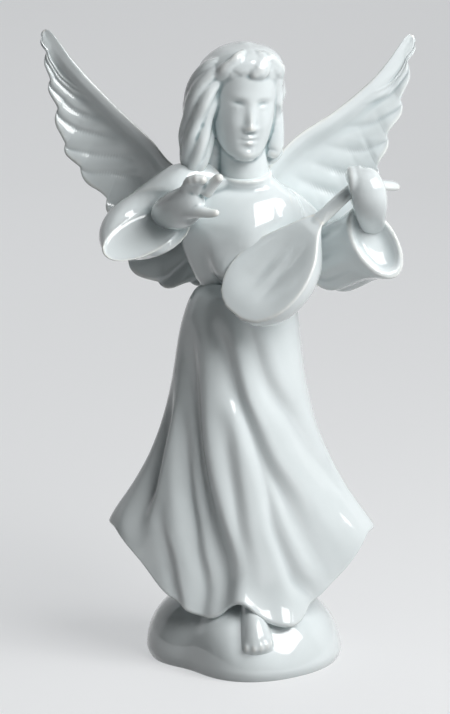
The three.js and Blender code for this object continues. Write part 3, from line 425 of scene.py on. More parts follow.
def foot_rise(across, along):
    """How far the foot stands off the boulder: a rounded instep that falls softly to the sides and over a row
    of toes. Along runs from 0 under the hem to 1 at the toes, and across is in half widths."""
    instep = keyed((-0.1, 4.8), (0.3, 4.7), (0.6, 4.2), (0.84, 3.5), (1.0, 1.8), (1.14, -0.8))(along)
    width = keyed((-0.1, 1.1), (0.4, 1.08), (0.75, 1.14), (1.0, 1.12))(along)
    width = width * np.where(across > 0, 1.15, 1)
    rise = (instep + FOOT_EDGE_SINK) * np.maximum(0, 1 - (across / width) ** 2) ** 1.3 - FOOT_EDGE_SINK
    for place, reach in [(-0.72, 0.96), (-0.3, 1.0), (0.06, 0.99), (0.4, 0.95), (0.7, 0.89)]:
        rise = rise + TOE_RISE * bell(across - place, 0.17) * bell(along - reach, 0.1)
    return rise


def make_foot():
    """A sheet over the boulder's front slope, raised along its normals by the foot and closed inside the
    boulder."""
    across, along = np.meshgrid(np.linspace(-1.2, 1.2, 110), np.linspace(-0.1, 1.2, 150))
    angle = np.radians(FOOT_ANGLE) + across * FOOT_HALF_WIDTH / BASE_RADIUS
    z = mix(FOOT_TOP, FOOT_TOES, along)
    skin = mound_point(angle, z)
    normal = unit(np.cross(np.gradient(skin, axis=1), np.gradient(skin, axis=0)))
    normal = normal * np.sign((normal * skin).sum(axis=-1).mean())
    top = skin + normal * foot_rise(across, along)[..., None]
    bottom = skin - FOOT_SINK * normal
    return melted("bare_foot", [lofted(np.concatenate([top, bottom[:, ::-1]], axis=1))], 0.35, 16)


# Skirt


def fold(line, depth, right, left):
    """A valley between two folds. Its line is (share of the way down, degrees from +X), with the front at
    -90, its depth is (share of the way down, millimetres), and its widths to either side are in degrees."""
    return {"line": keyed(*line), "depth": keyed(*depth), "right": right, "left": left}


SKIRT_FOLDS = [
    fold([(0.1, -158), (0.24, -150), (0.44, -137), (0.63, -122), (0.81, -108.5), (0.97, -105)],
         [(0.08, 0), (0.25, 2.6), (0.5, 4.4), (0.75, 5.2), (0.88, 4.2), (1, 2.6)], right=15, left=8),
    fold([(0.1, -120), (0.17, -111), (0.33, -93), (0.42, -78), (0.51, -66), (0.64, -49),
          (0.77, -39), (1, -31)],
         [(0.06, 0), (0.2, 2.2), (0.5, 3.2), (0.8, 3.0), (1, 2.2)], right=11, left=6.5),
    fold([(0.1, -77), (0.175, -69), (0.275, -58), (0.44, -33), (0.62, -19), (0.8, -9), (1, -7)],
         [(0.06, 0), (0.2, 1.8), (0.5, 2.6), (0.8, 2.4), (1, 0.5)], right=11, left=6.5),
    fold([(0.35, -110), (0.49, -103), (0.64, -95), (0.74, -91.5), (0.88, -90)],
         [(0.3, 0), (0.55, 1.6), (0.75, 1.8), (0.92, 0.6)], right=7, left=7),
    fold([(0.45, -75), (0.615, -65), (0.72, -60.5), (0.88, -52), (1, -41)],
         [(0.42, 0), (0.65, 2.0), (0.85, 2.8), (1, 2.2)], right=7, left=5.5),
    fold([(0.4, -169), (0.58, -168.5), (0.75, -166.5), (0.92, -166)],
         [(0.36, 0), (0.55, 2.6), (0.75, 6), (0.87, 3), (0.96, 0.4), (1, 0)], right=5.5, left=5.5),
    fold([(0.4, -155), (0.52, -147), (0.655, -138), (0.73, -132), (0.82, -128.5), (0.94, -123)],
         [(0.35, 0), (0.55, 2.8), (0.7, 4), (0.85, 3), (1, 1.8)], right=7, left=6),
    fold([(0.75, -151), (0.87, -146), (0.93, -143.5), (1, -139)],
         [(0.72, 0), (0.88, 1.6), (1, 1.8)], right=4.5, left=4),
    fold([(0, 2), (0.5, 12), (1, 22)], [(0.25, 0), (0.7, 3), (1, 1.6)], right=8, left=8),
    fold([(0, 32), (0.5, 38), (1, 50)], [(0.12, 0), (0.6, 3.6), (1, 3.6)], right=8, left=9),
    fold([(0, 62), (0.5, 70), (1, 79)], [(0.18, 0), (0.6, 3.4), (1, 3.8)], right=8, left=8),
    fold([(0, 94), (0.5, 99), (1, 107)], [(0.1, 0), (0.6, 3.8), (1, 3.8)], right=8, left=9),
    fold([(0, 126), (0.5, 129), (1, 134)], [(0.18, 0), (0.6, 3.2), (1, 3.4)], right=8, left=8),
    fold([(0, 156), (0.5, 156), (1, 158)], [(0.3, 0), (0.7, 3.4), (1, 2)], right=7, left=7),
]
skirt_width = keyed(
    (0, 1), (0.13, 0.985), (0.225, 0.92), (0.38, 0.72), (0.53, 0.57), (0.68, 0.478), (0.867, 0.415),
    (0.945, 0.37), (1, WAIST_HALF_WIDTH / HEM_HALF_WIDTH),
)
skirt_depth = keyed(
    (0, 1), (0.24, 0.94), (0.47, 0.82), (0.63, 0.71), (0.845, 0.57), (0.945, 0.5),
    (1, WAIST_HALF_DEPTH / HEM_HALF_DEPTH),
)
skirt_power = keyed((0, 1.56), (0.3, 1.57), (0.6, 1.9), (1, 2))


def hem_height(angle):
    """Height of the hem: raised to a point at each side, as 1 / (1 + (angle / 26 degrees)^3), and over the
    foot, with a low lobe at either side of the foot. The right point is a little higher than the left."""
    from_point = np.arccos(np.abs(np.cos(angle)))
    points = 1 / (1 + (from_point / np.radians(26)) ** 3)
    lift = HEM_LIFT * bell_at(angle, -94, 13)
    lobes = 1.2 * bell_at(angle, -122, 15) + 3.4 * bell_at(angle, -58, 15)
    level = mix(HEM_FRONT_HEIGHT, HEM_POINT_HEIGHT - HEM_TILT * np.cos(angle), points)
    return level + lift - lobes


def skirt_point(angle, down):
    """Bell skin: a superellipse that widens downwards, less a bell-shaped valley for each fold. The side
    points of the hem flick out, with a swell beside them, and its front kicks out, most at the left lobe."""
    z = mix(WAIST_HEIGHT, hem_height(angle), down)
    up = (z - HEM_FRONT_HEIGHT) / (WAIST_HEIGHT - HEM_FRONT_HEIGHT)
    half_width = HEM_HALF_WIDTH * skirt_width(up)
    half_depth = HEM_HALF_DEPTH * skirt_depth(up)
    radius = super_radius(angle, half_width, half_depth, skirt_power(up))
    spread = mix(1.5, 1.0, ease(down, 0.1, 0.6))
    for valley in SKIRT_FOLDS:
        away = np.degrees(apart(angle, np.radians(valley["line"](down))))
        width = np.where(away < 0, valley["right"], valley["left"]) * spread
        crest = FOLD_CREST * bell(away - 1.7 * valley["left"] * spread, 0.8 * valley["left"] * spread)
        radius = radius - valley["depth"](down) * (bell(away, width) - crest)
    from_point = np.degrees(np.arccos(np.abs(np.cos(angle))))
    flick = HEM_FLICK * bell(from_point, 9) * ease(down, 0.7, 1)
    swell = HEM_SIDE_SWELL * bell(from_point - 13, 8) * ease(down, 0.75, 1)
    kick = HEM_KICK * bell_at(angle, -85, 42) * ease(down, 0.85, 1.1) ** 2
    lobe = HEM_LOBE_KICK * bell_at(angle, -61, 11) * ease(down, 0.8, 1.04) ** 2
    radius = (radius + (flick + swell) + (kick + lobe)) * mix(0.8, 1, ease(down, -0.01, 0.035))
    lean = SKIRT_LEAN * (1 - 0.6 * ease(z, WAIST_HEIGHT - 25, WAIST_HEIGHT)) * ease(z, 40, 65)
    return np.stack([radius * np.cos(angle) + lean, radius * np.sin(angle), z], axis=-1)


def make_skirt():
    """Down the bell, round the rolled hem, up into the hollow and in to its seat on the boulder."""
    angle = ring_angles(400)[None, :]
    down = np.linspace(0, 1, 170)[:, None]
    skin = skirt_point(angle, down)
    hem = skin[-1]
    inward = unit(hem * np.array([-1, -1, 0]))
    turn = np.linspace(0, np.pi, 13)[1:, None, None]
    half_wall = HEM_WALL / 2
    rolled = hem + inward * half_wall * (1 - np.cos(turn)) - np.array([0, 0, half_wall]) * np.sin(turn)
    ceiling = hem[None] * np.array([1, 1, 0]) * np.array([0.84, 0.6])[:, None, None]
    ceiling = ceiling + (hem[:, 2] + HEM_HOLLOW)[None, :, None] * np.array([0, 0, 1])
    seat = SKIRT_SEAT_RADIUS * np.stack([np.cos(angle[0]), np.sin(angle[0]), 0 * angle[0]], axis=-1)
    seat = seat + np.array([0, 0, SKIRT_SEAT_LEVEL * BASE_HEIGHT])
    return mesh_piece("skirt", lofted(np.concatenate([skin, rolled, ceiling, seat[None]])))


# Gown's top: the bodice and both sleeves, melted together and cut apart again at the armholes

bodice_right = keyed(
    (0, 20.2), (0.1, 22.4), (0.32, 26.8), (0.5, 26), (0.64, 24), (0.76, 20.4), (0.88, 14), (1, COLLAR_RADIUS)
)
bodice_left = keyed(
    (0, 18), (0.1, 21), (0.3, 24.6), (0.5, 25), (0.64, 23.5), (0.76, 20.4), (0.88, 14), (1, COLLAR_RADIUS)
)
bodice_front = keyed(
    (0, 11.4), (0.05, 13), (0.14, 16.6), (0.34, 17.5), (0.5, 17.2), (0.62, 16), (0.76, 12.8), (0.88, 10.1),
    (1, COLLAR_RADIUS),
)
bodice_back = keyed(
    (0, 12), (0.1, 12.8), (0.4, 14), (0.62, 14), (0.76, 12.4), (0.88, 9.6), (1, COLLAR_RADIUS)
)


def bodice_surface():
    """Torso from inside the skirt to the collar: superellipse sections, a deep hollow at the right of the
    front panel, the panel blousing over the waist, a low bust, and a rolled collar that dips at the front."""
    angle = ring_angles(220)[None, :]
    level = np.linspace(-0.08, 1, 130)[:, None]
    half_width = np.where(np.cos(angle) < 0, bodice_right(level), bodice_left(level))
    half_depth = np.where(np.sin(angle) < 0, bodice_front(level), bodice_back(level))
    radius = super_radius(angle, half_width, half_depth, 2.1)
    hollow = bell_at(angle, mix(-146, -158, level / 0.4), 20)
    radius = radius - BODICE_HOLLOW * hollow * (1 - ease(level, 0.2, 0.66))
    blouse = bell_at(angle, -114, 22) * bell(level - 0.1, 0.13)
    bust = bell_at(angle, -86, 27) * bell(level - 0.44, 0.2)
    radius = radius + BODICE_BLOUSE * blouse + BODICE_BUST * bust
    radius = radius * mix(0.86, 1, ease(level, -0.08, 0.05)) + COLLAR_ROLL * bell(level - 0.985, 0.03)
    dip = COLLAR_DIP * ease(level, 0.7, 1) * (1 - np.sin(angle)) / 2
    z = WAIST_HEIGHT + level * BODICE_HEIGHT - dip
    return lofted(np.stack([radius * np.cos(angle), radius * np.sin(angle), z], axis=-1))


# Stations of the sleeves: the middle of an oval, from the shoulder's level, and its two half-axis vectors
RIGHT_SLEEVE = [
    ((-11, 1, 4), (2.8, -9.4, 1.9), (5.6, 0, -8.3)),
    ((-26, -2, 0.6), (6.5, -10, 4), (5, 2.5, -10.4)),
    ((-37, -8.5, -8.4), (15.4, -8.6, 5.6), (4.2, 2.6, -11.4)),
    ((-41, -14.4, -12.8), (18.4, -2.4, 4.6), (3, -3, -12)),
    ((-42.2, -19, -15.2), (15.4, 11, 6.0), (4.0, -5.2, -6.6)),
]
LEFT_SLEEVE = [
    ((11, 1, -1), (6.1, -2, -7.7), (2.1, 9.7, -1)),
    ((22.5, 1, -16), (2.5, -2, -14.6), (4.5, 9.5, 1)),
    ((35.5, 0, -27.2), (2.5, -3, -14), (8, 9, 0)),
    ((46.4, -10, -22), (5.8, -2.6, -13), (8.8, 6, 0.6)),
    ((53, -18, -18.4), (7.9, -1.9, -14.6), (8.8, 3.1, 2.6)),
]
SHOULDER_LEVEL = np.array([0, 0, WAIST_HEIGHT + SHOULDER_HEIGHT])
# The cuts between the bodice and the sleeves: a point and a normal
RIGHT_ARMHOLE = ((-27.5, 0, 176), (-0.906, 0, 0.42))
LEFT_ARMHOLE = ((17, 0, 200), (0.949, 0, 0.316))


def sleeve_surface(stations, mouth_depth, rim, pleat):
    """Horn of ovals along smooth curves through the stations, then over a rounded rim, whose thickness is a
    share of the mouth, and down a bowl. Pleats, a share of the radius deep, run along the hanging part."""
    keys = np.linspace(0, 1, len(stations))
    share = np.linspace(0, 1, 60)

    def smooth(part):
        columns = np.array(stations)[:, part].T
        return np.stack([hermite(keys, column, False)(share) for column in columns], axis=-1)

    middle, across, along = smooth(0) + SHOULDER_LEVEL, smooth(1), smooth(2)
    pleats = 1 + pleat * np.sin(9 * ring_angles(96)) * np.sin(np.pi * share[:, None]) ** 2
    outer = middle[:, None] + (oval_rings(middle, across, along, 96) - middle[:, None]) * pleats[..., None]
    inward = unit(np.cross(across[-1], along[-1]))
    inward = inward * np.sign(inward @ (middle[-4] - middle[-1]))
    turn = np.linspace(0, np.pi, 9)[1:-1]
    lip = np.stack([-0.7 * np.sin(turn), 1 - 0.5 * rim * (1 - np.cos(turn))], axis=-1)
    wide = np.cos(np.linspace(0, 0.5 * np.pi, 26))
    bowl = np.stack([mouth_depth * (1 - wide**4), (1 - rim) * np.maximum(0.02, wide)], axis=-1)
    profile = np.concatenate([lip, bowl])
    centre = middle[-1] + inward * profile[:, :1]
    inner = oval_rings(centre, across[-1] * profile[:, 1:], along[-1] * profile[:, 1:], 96)
    return lofted(np.concatenate([outer, inner]))


def make_gown_top():
    """Bodice and sleeves as one melted skin, cut at the armholes into three closed pieces."""
    surfaces = [
        bodice_surface(),
        sleeve_surface(RIGHT_SLEEVE, mouth_depth=0.5, rim=0.05, pleat=0.0),
        sleeve_surface(LEFT_SLEEVE, mouth_depth=3.0, rim=0.22, pleat=0.07),
    ]
    bodice = melted("bodice", surfaces, 0.5, 14)
    right = cut_off(bodice, "right_sleeve", *RIGHT_ARMHOLE)
    left = cut_off(bodice, "left_sleeve", *LEFT_ARMHOLE)
    return bodice, right, left


# Head

CHIN = -0.525 * HEAD_HEIGHT
CROWN = 0.475 * HEAD_HEIGHT
HAIR_END = HAIR_TOP - HAIR_LENGTH
HEAD_PLACE = np.array([-1.5, -1.0, WAIST_HEIGHT + BODICE_HEIGHT + NECK_LENGTH + 3.0])
HEAD_TURNED = turned(HEAD_TURN, "Z") @ turned(HEAD_TILT, "Y") @ turned(HEAD_NOD, "X")

head_width = keyed(
    (0, 0.28), (0.06, 0.53), (0.17, 0.74), (0.34, 0.89), (0.52, 0.96), (0.71, 1), (0.85, 0.92), (0.94, 0.67),
    (1, 0.28),
)
head_depth = keyed(
    (0, 0.24), (0.06, 0.47), (0.17, 0.7), (0.34, 0.85), (0.52, 0.94), (0.71, 1), (0.85, 0.94), (0.94, 0.7),
    (1, 0.3),
)
head_forward = keyed((0, 10.5), (0.06, 8), (0.17, 4.5), (0.34, 2), (0.52, 0), (0.71, -1), (1, -1))


def face_relief(x, z):
    """How far the face stands out: soft bumps for brow, lids, nose, cheeks, lips and chin, hollows for the
    eye sockets, the line of the mouth and the dip below the lips."""

    def spot(at_x, at_z, wide, high):
        return bell(x - at_x, wide) * bell(z - at_z, high)

    def pair(at_x, at_z, wide, high):
        return spot(at_x, at_z, wide, high) + spot(-at_x, at_z, wide, high)

    bridge = keyed((-10.4, 0), (-9.2, 2.2), (-7.8, 2.9), (-5.5, 2.2), (0, 0.9), (3, 0.5), (7, 0))(z)
    nose = bridge * bell(x, keyed((-9, 2.2), (-6, 1.9), (0, 2.2), (5, 3.4))(z))
    nose = nose + 0.7 * pair(2.1, -8.5, 1.3, 1.1)
    eyes = -1.2 * pair(5.3, 0.9, 3.2, 2.3) + 1.0 * pair(5.5, -0.1, 2.6, 1.7)
    lids = -0.28 * pair(5.5, 1.8, 2.4, 0.5) - 0.22 * pair(5.5, -1.2, 2.2, 0.45)
    brow = 0.35 * pair(5.4, 4.2, 3.8, 1.5)
    cheeks = 0.8 * pair(7.0, -6.5, 4.0, 4.4)
    lips = 1.0 * spot(0, -12.2, 2.7, 0.9) + 1.1 * spot(0, -14.5, 2.2, 1.0)
    mouth = -0.6 * spot(0, -13.3, 3.0, 0.42) - 0.2 * pair(3.3, -13.2, 0.9, 0.9)
    chin = 1.0 * spot(0, -19.5, 3.6, 2.6) - 0.4 * spot(0, -16.8, 2.6, 1.1)
    return nose + eyes + lids + brow + cheeks + lips + mouth + chin


def skull_surface():
    """Superellipse sections from the chin to the crown, moved forward towards the chin, with a relief."""
    angle = ring_angles(220)[None, :]
    share = np.linspace(0, 1, 150)[:, None]
    z = mix(CHIN, CROWN, share)
    half_width = HEAD_HALF_WIDTH * head_width(share)
    half_depth = HEAD_HALF_DEPTH * head_depth(share)
    radius = super_radius(angle, half_width, half_depth, 2.15)
    x, y = radius * np.cos(angle), radius * np.sin(angle)
    facing = np.sqrt(np.maximum(0, -np.sin(angle)))
    y = y - head_forward(share) - facing * face_relief(x, z)
    return lofted(np.stack([x, y, z + 0 * angle], axis=-1))


# Shares of the head's half width and half depth, from the ends of the hair to its top
hair_right = keyed(
    (0, 1.6), (0.075, 1.74), (0.19, 1.66), (0.37, 1.72), (0.605, 1.5), (0.74, 1.3), (0.85, 1.2), (0.92, 1.0),
    (0.97, 0.68), (1, 0.16),
)
hair_left = keyed(
    (0, 1.16), (0.094, 1.295), (0.21, 1.185), (0.466, 1.185), (0.643, 1.27), (0.78, 1.21), (0.88, 1.07),
    (0.94, 0.86), (0.975, 0.58), (1, 0.16),
)
hair_back = keyed(
    (0, 0.65), (0.17, 0.85), (0.43, 1.12), (0.68, 1.18), (0.84, 1.06), (0.92, 0.86), (0.97, 0.58), (1, 0.14)
)
hair_front = keyed(
    (0, 0.53), (0.33, 0.71), (0.68, 0.85), (0.8, 0.95), (0.88, 0.915), (0.937, 0.77), (0.975, 0.52), (1, 0.14)
)
hair_hidden = keyed((0, 0.25), (0.13, 0.35), (0.29, 0.56), (0.525, 0.78), (0.66, 0.96), (0.8, 0.99))
hair_window = keyed((0, 68), (0.13, 64), (0.37, 57), (0.5, 52), (0.6, 43), (0.68, 28), (0.73, 12), (0.76, 0))


def hair_radius(angle, share):
    """Distance of the hair's skin from the head's axis at an angle and a share of its height."""
    half_width = HEAD_HALF_WIDTH * np.where(np.cos(angle) < 0, hair_right(share), hair_left(share))
    half_depth = HEAD_HALF_DEPTH * np.where(np.sin(angle) < 0, hair_front(share), hair_back(share))
    return super_radius(angle, half_width, half_depth, 2.1)


def hair_surface():
    """Hair as a shell round the head that sinks into it in the window of the face. Slow waves run round it,
    soft locks and fine strands run down it, and its ends roll in."""
    angle = ring_angles(420)[None, :]
    share = np.linspace(0, 1, 220)[:, None]
    z = mix(HAIR_END, HAIR_TOP, share)
    wider = 12 * ease(-np.cos(angle), 0, 0.4) * (1 - ease(share, 0.55, 0.75))
    edge = np.radians(hair_window(share) + wider)
    soft = mix(0.2, 0.7, ease(share, 0.5, 0.74))
    cover = ease(np.abs(apart(angle, -np.pi / 2)), edge - 0.1, edge + soft)
    arch = share + 0.05 * np.cos(2.4 * apart(angle, np.radians(-80)))
    cover = np.maximum(cover, ease(arch, 0.69, 0.86))
    below = 1 - ease(share, 0.62, 0.9)
    phase = 2 * np.pi * (z + 0.5) / HAIR_WAVE_LENGTH
    wave = HAIR_WAVE * np.cos(phase + 1.5 * np.sin(angle)) * below
    sway = 0.16 * np.sin(phase)
    lock = HAIR_LOCK * np.sin(9 * (angle + sway) + 0.12 * z) * below
    combed = ease(np.abs(apart(angle, np.radians(-80))), 0.5, 0.9)
    strand = HAIR_STRAND * combed * np.sin(46 * (angle + sway))
    strand = strand * ease(share, 0.02, 0.2) * (1 - ease(share, 0.8, 0.94))
    ends = 1 - 0.22 * (1 - ease(share, 0, 0.07)) ** 2
    radius = (hair_radius(angle, share) - 0.2 + wave + lock + strand) * ends
    radius = mix(HEAD_HALF_WIDTH * hair_hidden(share), radius, cover)
    x = radius * np.cos(angle)
    ragged = (1.4 * np.sin(7 * angle + 0.6) - 4 * ease(-np.cos(angle), 0.1, 0.8)) * (1 - ease(share, 0, 0.2))
    slope = 0.16 * np.minimum(x, 0) * ease(share, 0.7, 0.95)
    return lofted(np.stack([x, radius * np.sin(angle), z + ragged + slope], axis=-1))


# Twisted locks: the places in the head's frame, the half-axes, the strands and the turns. One hangs thick
# beside the right cheek, and three short ones sweep from the parting over the brow.
CHEEK_LOCK = {
    "places": [(-6, -4.5, 17), (-12.2, -4.0, 14), (-15.8, -3.2, 8), (-17.8, -2.8, -0.5), (-18.4, -2.2, -10),
               (-18.4, -2.2, -19), (-18.2, -1.0, -31)],
    "half_axes": (7.2, 9.0), "side": (1, 0, 0), "strands": 6, "turns": -0.6,
}
FRINGE_LOCKS = [
    {"places": places, "half_axes": (2.6, 3.8), "side": (0, -1, 0), "strands": 3, "turns": 0.4}
    for places in [
        [(-0.5, -5, 20), (-5, -11.6, 18.6), (-9.5, -11.6, 15), (-13.6, -7.5, 9.5)],
        [(0.5, -5, 20), (2.8, -12.8, 18.6), (3.2, -14.6, 15.6), (-1.4, -14.8, 13)],
        [(1.5, -5, 20), (6.8, -11.6, 18.4), (10.6, -10.4, 15), (13.6, -6, 10)],
    ]
]
LOCK_DIP = 0.15  # share of the radius
# The curl at the left shoulder: its radius and its places in the head's frame
CURL_RADIUS = 3.7
CURL_PATH = [(13.2, -0.5, 6), (14.2, -2, -4), (14.4, -3.6, -13), (13.8, -5.4, -20), (11.6, -7.2, -21.4)]


def lock_surface(lock):
    """Twisted lock along a smooth path: an oval section that dips between its strands, which turn about the
    path with the distance along it."""
    across, along = lock["half_axes"]
    swell = keyed((0, 0.5), (0.2, 0.86), (0.4, 1.02), (0.54, 0.93), (0.7, 1.03), (0.84, 0.93), (1, 0.85))
    flat = across / along
    middle, rings = limb_rings(lock["places"], lambda s: along * swell(s), lock["side"], flat, 96, 140)
    share = np.linspace(0, 1, 140)[:, None]
    turned_by = 2 * np.pi * lock["turns"] * share
    strands = np.abs(np.cos(lock["strands"] / 2 * (ring_angles(96)[None, :] + turned_by)))
    dip = 1 - LOCK_DIP * (1 - strands)
    return lofted(middle + (rings - middle) * dip[..., None])


def hair_curl():
    """Limb that hangs from the hair at the left cheek and hooks in at the shoulder."""
    swell = keyed((0, 0.5), (0.35, 0.84), (0.8, 1), (1, 0.75))
    return limb(CURL_PATH, lambda s: CURL_RADIUS * swell(s), sides=24, steps=60)


def make_head():
    """Face, hair, locks and curl, turned and tilted on the neck, melted with it into one skin."""
    locks = [lock_surface(lock) for lock in [CHEEK_LOCK, *FRINGE_LOCKS]]
    surfaces = [skull_surface(), hair_surface(), *locks, hair_curl()]
    surfaces = [moved(surface, HEAD_TURNED, HEAD_PLACE) for surface in surfaces]
    collar = np.array([0, 0.5, WAIST_HEIGHT + BODICE_HEIGHT - 8])
    jaw = HEAD_PLACE + HEAD_TURNED @ np.array([0, 0, -8])
    bend = mix(collar, jaw, 0.5) + np.array([0, 0.6, 0])
    neck = limb([collar, bend, jaw], lambda s: NECK_RADIUS + 0 * s, sides=40)
    return melted("head", surfaces + [neck], 0.4, 12)


# Hands


def finger(places, radius, tip=0.8):
    """A limb at the height of the shoulders that tapers to a share of its radius."""
    taper = keyed((0, radius), (1, tip * radius))
    return limb(np.array(places) + SHOULDER_LEVEL, taper)


def palm(places, swell, side):
    """A flat limb at the height of the shoulders, from the wrist to the knuckles."""
    places = np.array(places) + SHOULDER_LEVEL
    flat = PALM_HALF_WIDTH / PALM_THICKNESS
    return limb(places, lambda s: PALM_THICKNESS * swell(s), side=side, flat=flat, sides=32, steps=40)


def make_right_hand():
    """Open hand above the sleeve's mouth: a round palm, four short fingers curled forward, and a thumb."""
    swell = keyed((0, 0.85), (0.35, 1.14), (0.65, 1.2), (1, 0.95))
    places = [(-35.5, -8, -11), (-33, -13, -8.6), (-28.8, -23, -5.2), (-24, -31, -0.6), (-19.2, -35, 5)]
    parts = [palm(places, swell, (0.85, -0.2, -0.5))]
    for places in [
        [(-16.4, -35, 3.4), (-13.4, -37, 8), (-11, -39.2, 11.2), (-9.6, -41, 11.2)],
        [(-20, -34.6, 4.6), (-18.8, -37, 8.8), (-17.4, -39.6, 10.8), (-16.6, -41.4, 9.6)],
        [(-22, -34, 4.8), (-21, -36.4, 8.8), (-19.8, -39.2, 11), (-18.8, -41.2, 9.8)],
        [(-24, -33, 4), (-23.2, -35.4, 8), (-22, -38.2, 10.2), (-21, -40.2, 9.4)],
    ]:
        parts.append(finger(places, FINGER_RADIUS))
    parts.append(finger([(-25, -31, -3), (-18.5, -36, -2.6), (-14, -38.4, -3), (-10.4, -40, -2.4)], 3.6, 0.5))
    return melted("right_hand", parts, 0.4, 36)


def make_left_hand():
    """Hand closed round the lute's neck: its back to the front, its fingers in an arch over the top."""
    swell = keyed((0, 0.86), (0.2, 0.8), (0.6, 1.04), (0.85, 0.86), (1, 0.6))
    places = [(52.6, -8, -15.4), (51.6, -16.4, -9.6), (50.6, -23.2, -2.6)]
    places = places + [(49.6, -25.6, 4.2), (48, -22.6, 9.2), (46, -17.4, 8.8)]
    parts = [palm(places, swell, (1, 0, 0.16))]
    for place in (-1.5, -0.5, 0.5, 1.5):
        x = 48 + 3.0 * place
        drop = 0.55 * (place + 0.7) ** 2
        knuckle = [(x + 0.8, -26.4, 3.0 - drop), (x, -24.4, 9.4 - drop), (x - 0.6, -19, 11.4 - drop)]
        tip = [(x - 0.8, -14.6, 8.4 - drop), (x + 0.4, -14, 4.4)]
        parts.append(finger(knuckle + tip, FINGER_RADIUS))
    parts.append(finger([(48, -22, -4.2), (45.6, -19.8, -2.8), (44.2, -16.4, -0.8), (45, -13.4, 1.8)], 2.0))
    return melted("left_hand", parts, 0.4, 26)


# Wings: outlines are (distance outwards, height above the waist), from the root to the tip

RIGHT_WING = {
    "leading": [
        (2, 33), (16, 40), (30.4, 47), (38.8, 56.3), (55.1, 71.4), (71.4, 88.2), (78.6, 97.6), (81.4, 100.8),
        (83.2, 101.6),
    ],
    "notches": [
        (4, 4), (12, -1), (23, -3), (36.5, -3.5), (49.1, 5.3), (54, 18), (58, 30.9), (69.2, 43.6),
        (75.5, 53.5), (78.6, 68.2), (81.6, 80.3), (83.2, 91.7), (85.2, 97.4), (84.4, 100.8),
    ],
}
LEFT_WING = {
    "leading": [
        (2, 33), (10, 47), (22, 59.2), (37.1, 68.6), (51.7, 80.2), (59.3, 88.4), (65.5, 97), (67.4, 99.2),
        (69, 100),
    ],
    "notches": [
        (4, 4), (12, -1), (22, -4), (34, -2), (42, 6), (49, 20), (52.6, 33), (55.6, 44.5), (59.5, 57.5),
        (65.2, 72.5), (68, 88), (70.9, 96), (70.2, 99.2),
    ],
}


def rounded_off(distance, radius):
    """Share of the full thickness at a distance from an edge that is rounded like a quarter circle."""
    return np.sqrt(1 - (1 - np.minimum(distance / radius, 1)) ** 2)


def feather_place(span, keys):
    """Place within its feather, from 0 at one notch to 1 at the next, at a share of the span."""
    feather = np.interp(span, keys, np.arange(len(keys)))
    return np.clip(feather - np.floor(np.minimum(feather, len(keys) - 1.001)), 0, 1)


def wing_plan(outline, span):
    """Along the span: the leading curve, the curve through the notches and how far the feathers bulge past
    it, more towards the tip. Last come the shares of the span at the notches."""
    notches = np.array(outline["notches"], float)
    lengths = np.linalg.norm(np.diff(notches, axis=0), axis=1)
    keys = np.concatenate([[0], np.cumsum(lengths)]) / lengths.sum()
    length_here = np.interp(span, (keys[1:] + keys[:-1]) / 2, lengths)
    bulge = np.sin(np.pi * feather_place(span, keys) ** 1.7) * SCALLOP * length_here
    front = through(outline["leading"])(mix(0.001, 0.999, span))
    rear = through(notches)(span)
    along = unit(np.gradient(rear, axis=0))
    past = np.stack([along[:, 1], -along[:, 0]], axis=-1) * bulge[:, None]
    return front, rear, past, keys


def make_wing(name, outline, side):
    """Cambered panel with a thick round band at the leading edge and thin rounded feather ends. A shallow
    groove parts each two feathers at the notches, and ripples whose crests sweep towards the root show the
    feathers on both faces."""
    span = np.linspace(0, 1, 480)
    front, rear, past, keys = wing_plan(outline, span)
    chord = np.linalg.norm(rear - front, axis=1)[:, None]
    turn = np.linspace(0, 2 * np.pi, 120, endpoint=False)[None, :]
    share = ((1 - np.cos(turn)) / 2) ** 1.2
    place = front[:, None] + (rear - front)[:, None] * share[..., None]
    place = place + past[:, None] * share[..., None] ** 5
    taper = np.minimum(1, (chord + 4) / 24)
    band = 1 - ease(share * chord, 0.5 * WING_BAND, 1.6 * WING_BAND)
    thick = taper * mix(WING_FEATHER_THICKNESS, WING_EDGE_THICKNESS, band)
    ends = rounded_off(share * chord, WING_EDGE_ROUNDING)
    ends = ends * rounded_off((1 - share) * chord, WING_FEATHER_ROUNDING)
    from_notch = np.abs(feather_place(span, keys) - 0.5)[:, None] - 0.5
    groove = WING_GROOVE * bell(from_notch, 0.16) * ease(share, 0.3, 0.9) * taper
    outward = np.sign(np.sin(turn)) * np.maximum(0.5 * thick - groove, 0.1) * ends
    camber = WING_CAMBER * chord * np.sin(np.pi * share**0.75)
    swept = feather_place(span[:, None] + WING_FEATHER_SWEEP * (1 - share), keys)
    ripple = WING_RIPPLE * (np.sin(np.pi * swept) ** 0.7 - 0.5) * ease(share, 0.15, 0.6) * taper
    back = WING_ROOT_DEPTH + WING_SWEEP * (place[..., 0] - WING_ROOT_OFFSET)
    y = back + camber - ripple - outward
    points = np.stack([side * place[..., 0], y, WAIST_HEIGHT + place[..., 1]], axis=-1)
    return mesh_piece(name, lofted(points))


# Lute: its own frame has Y along the neck, Z out of the board and its origin at the bottom of the board

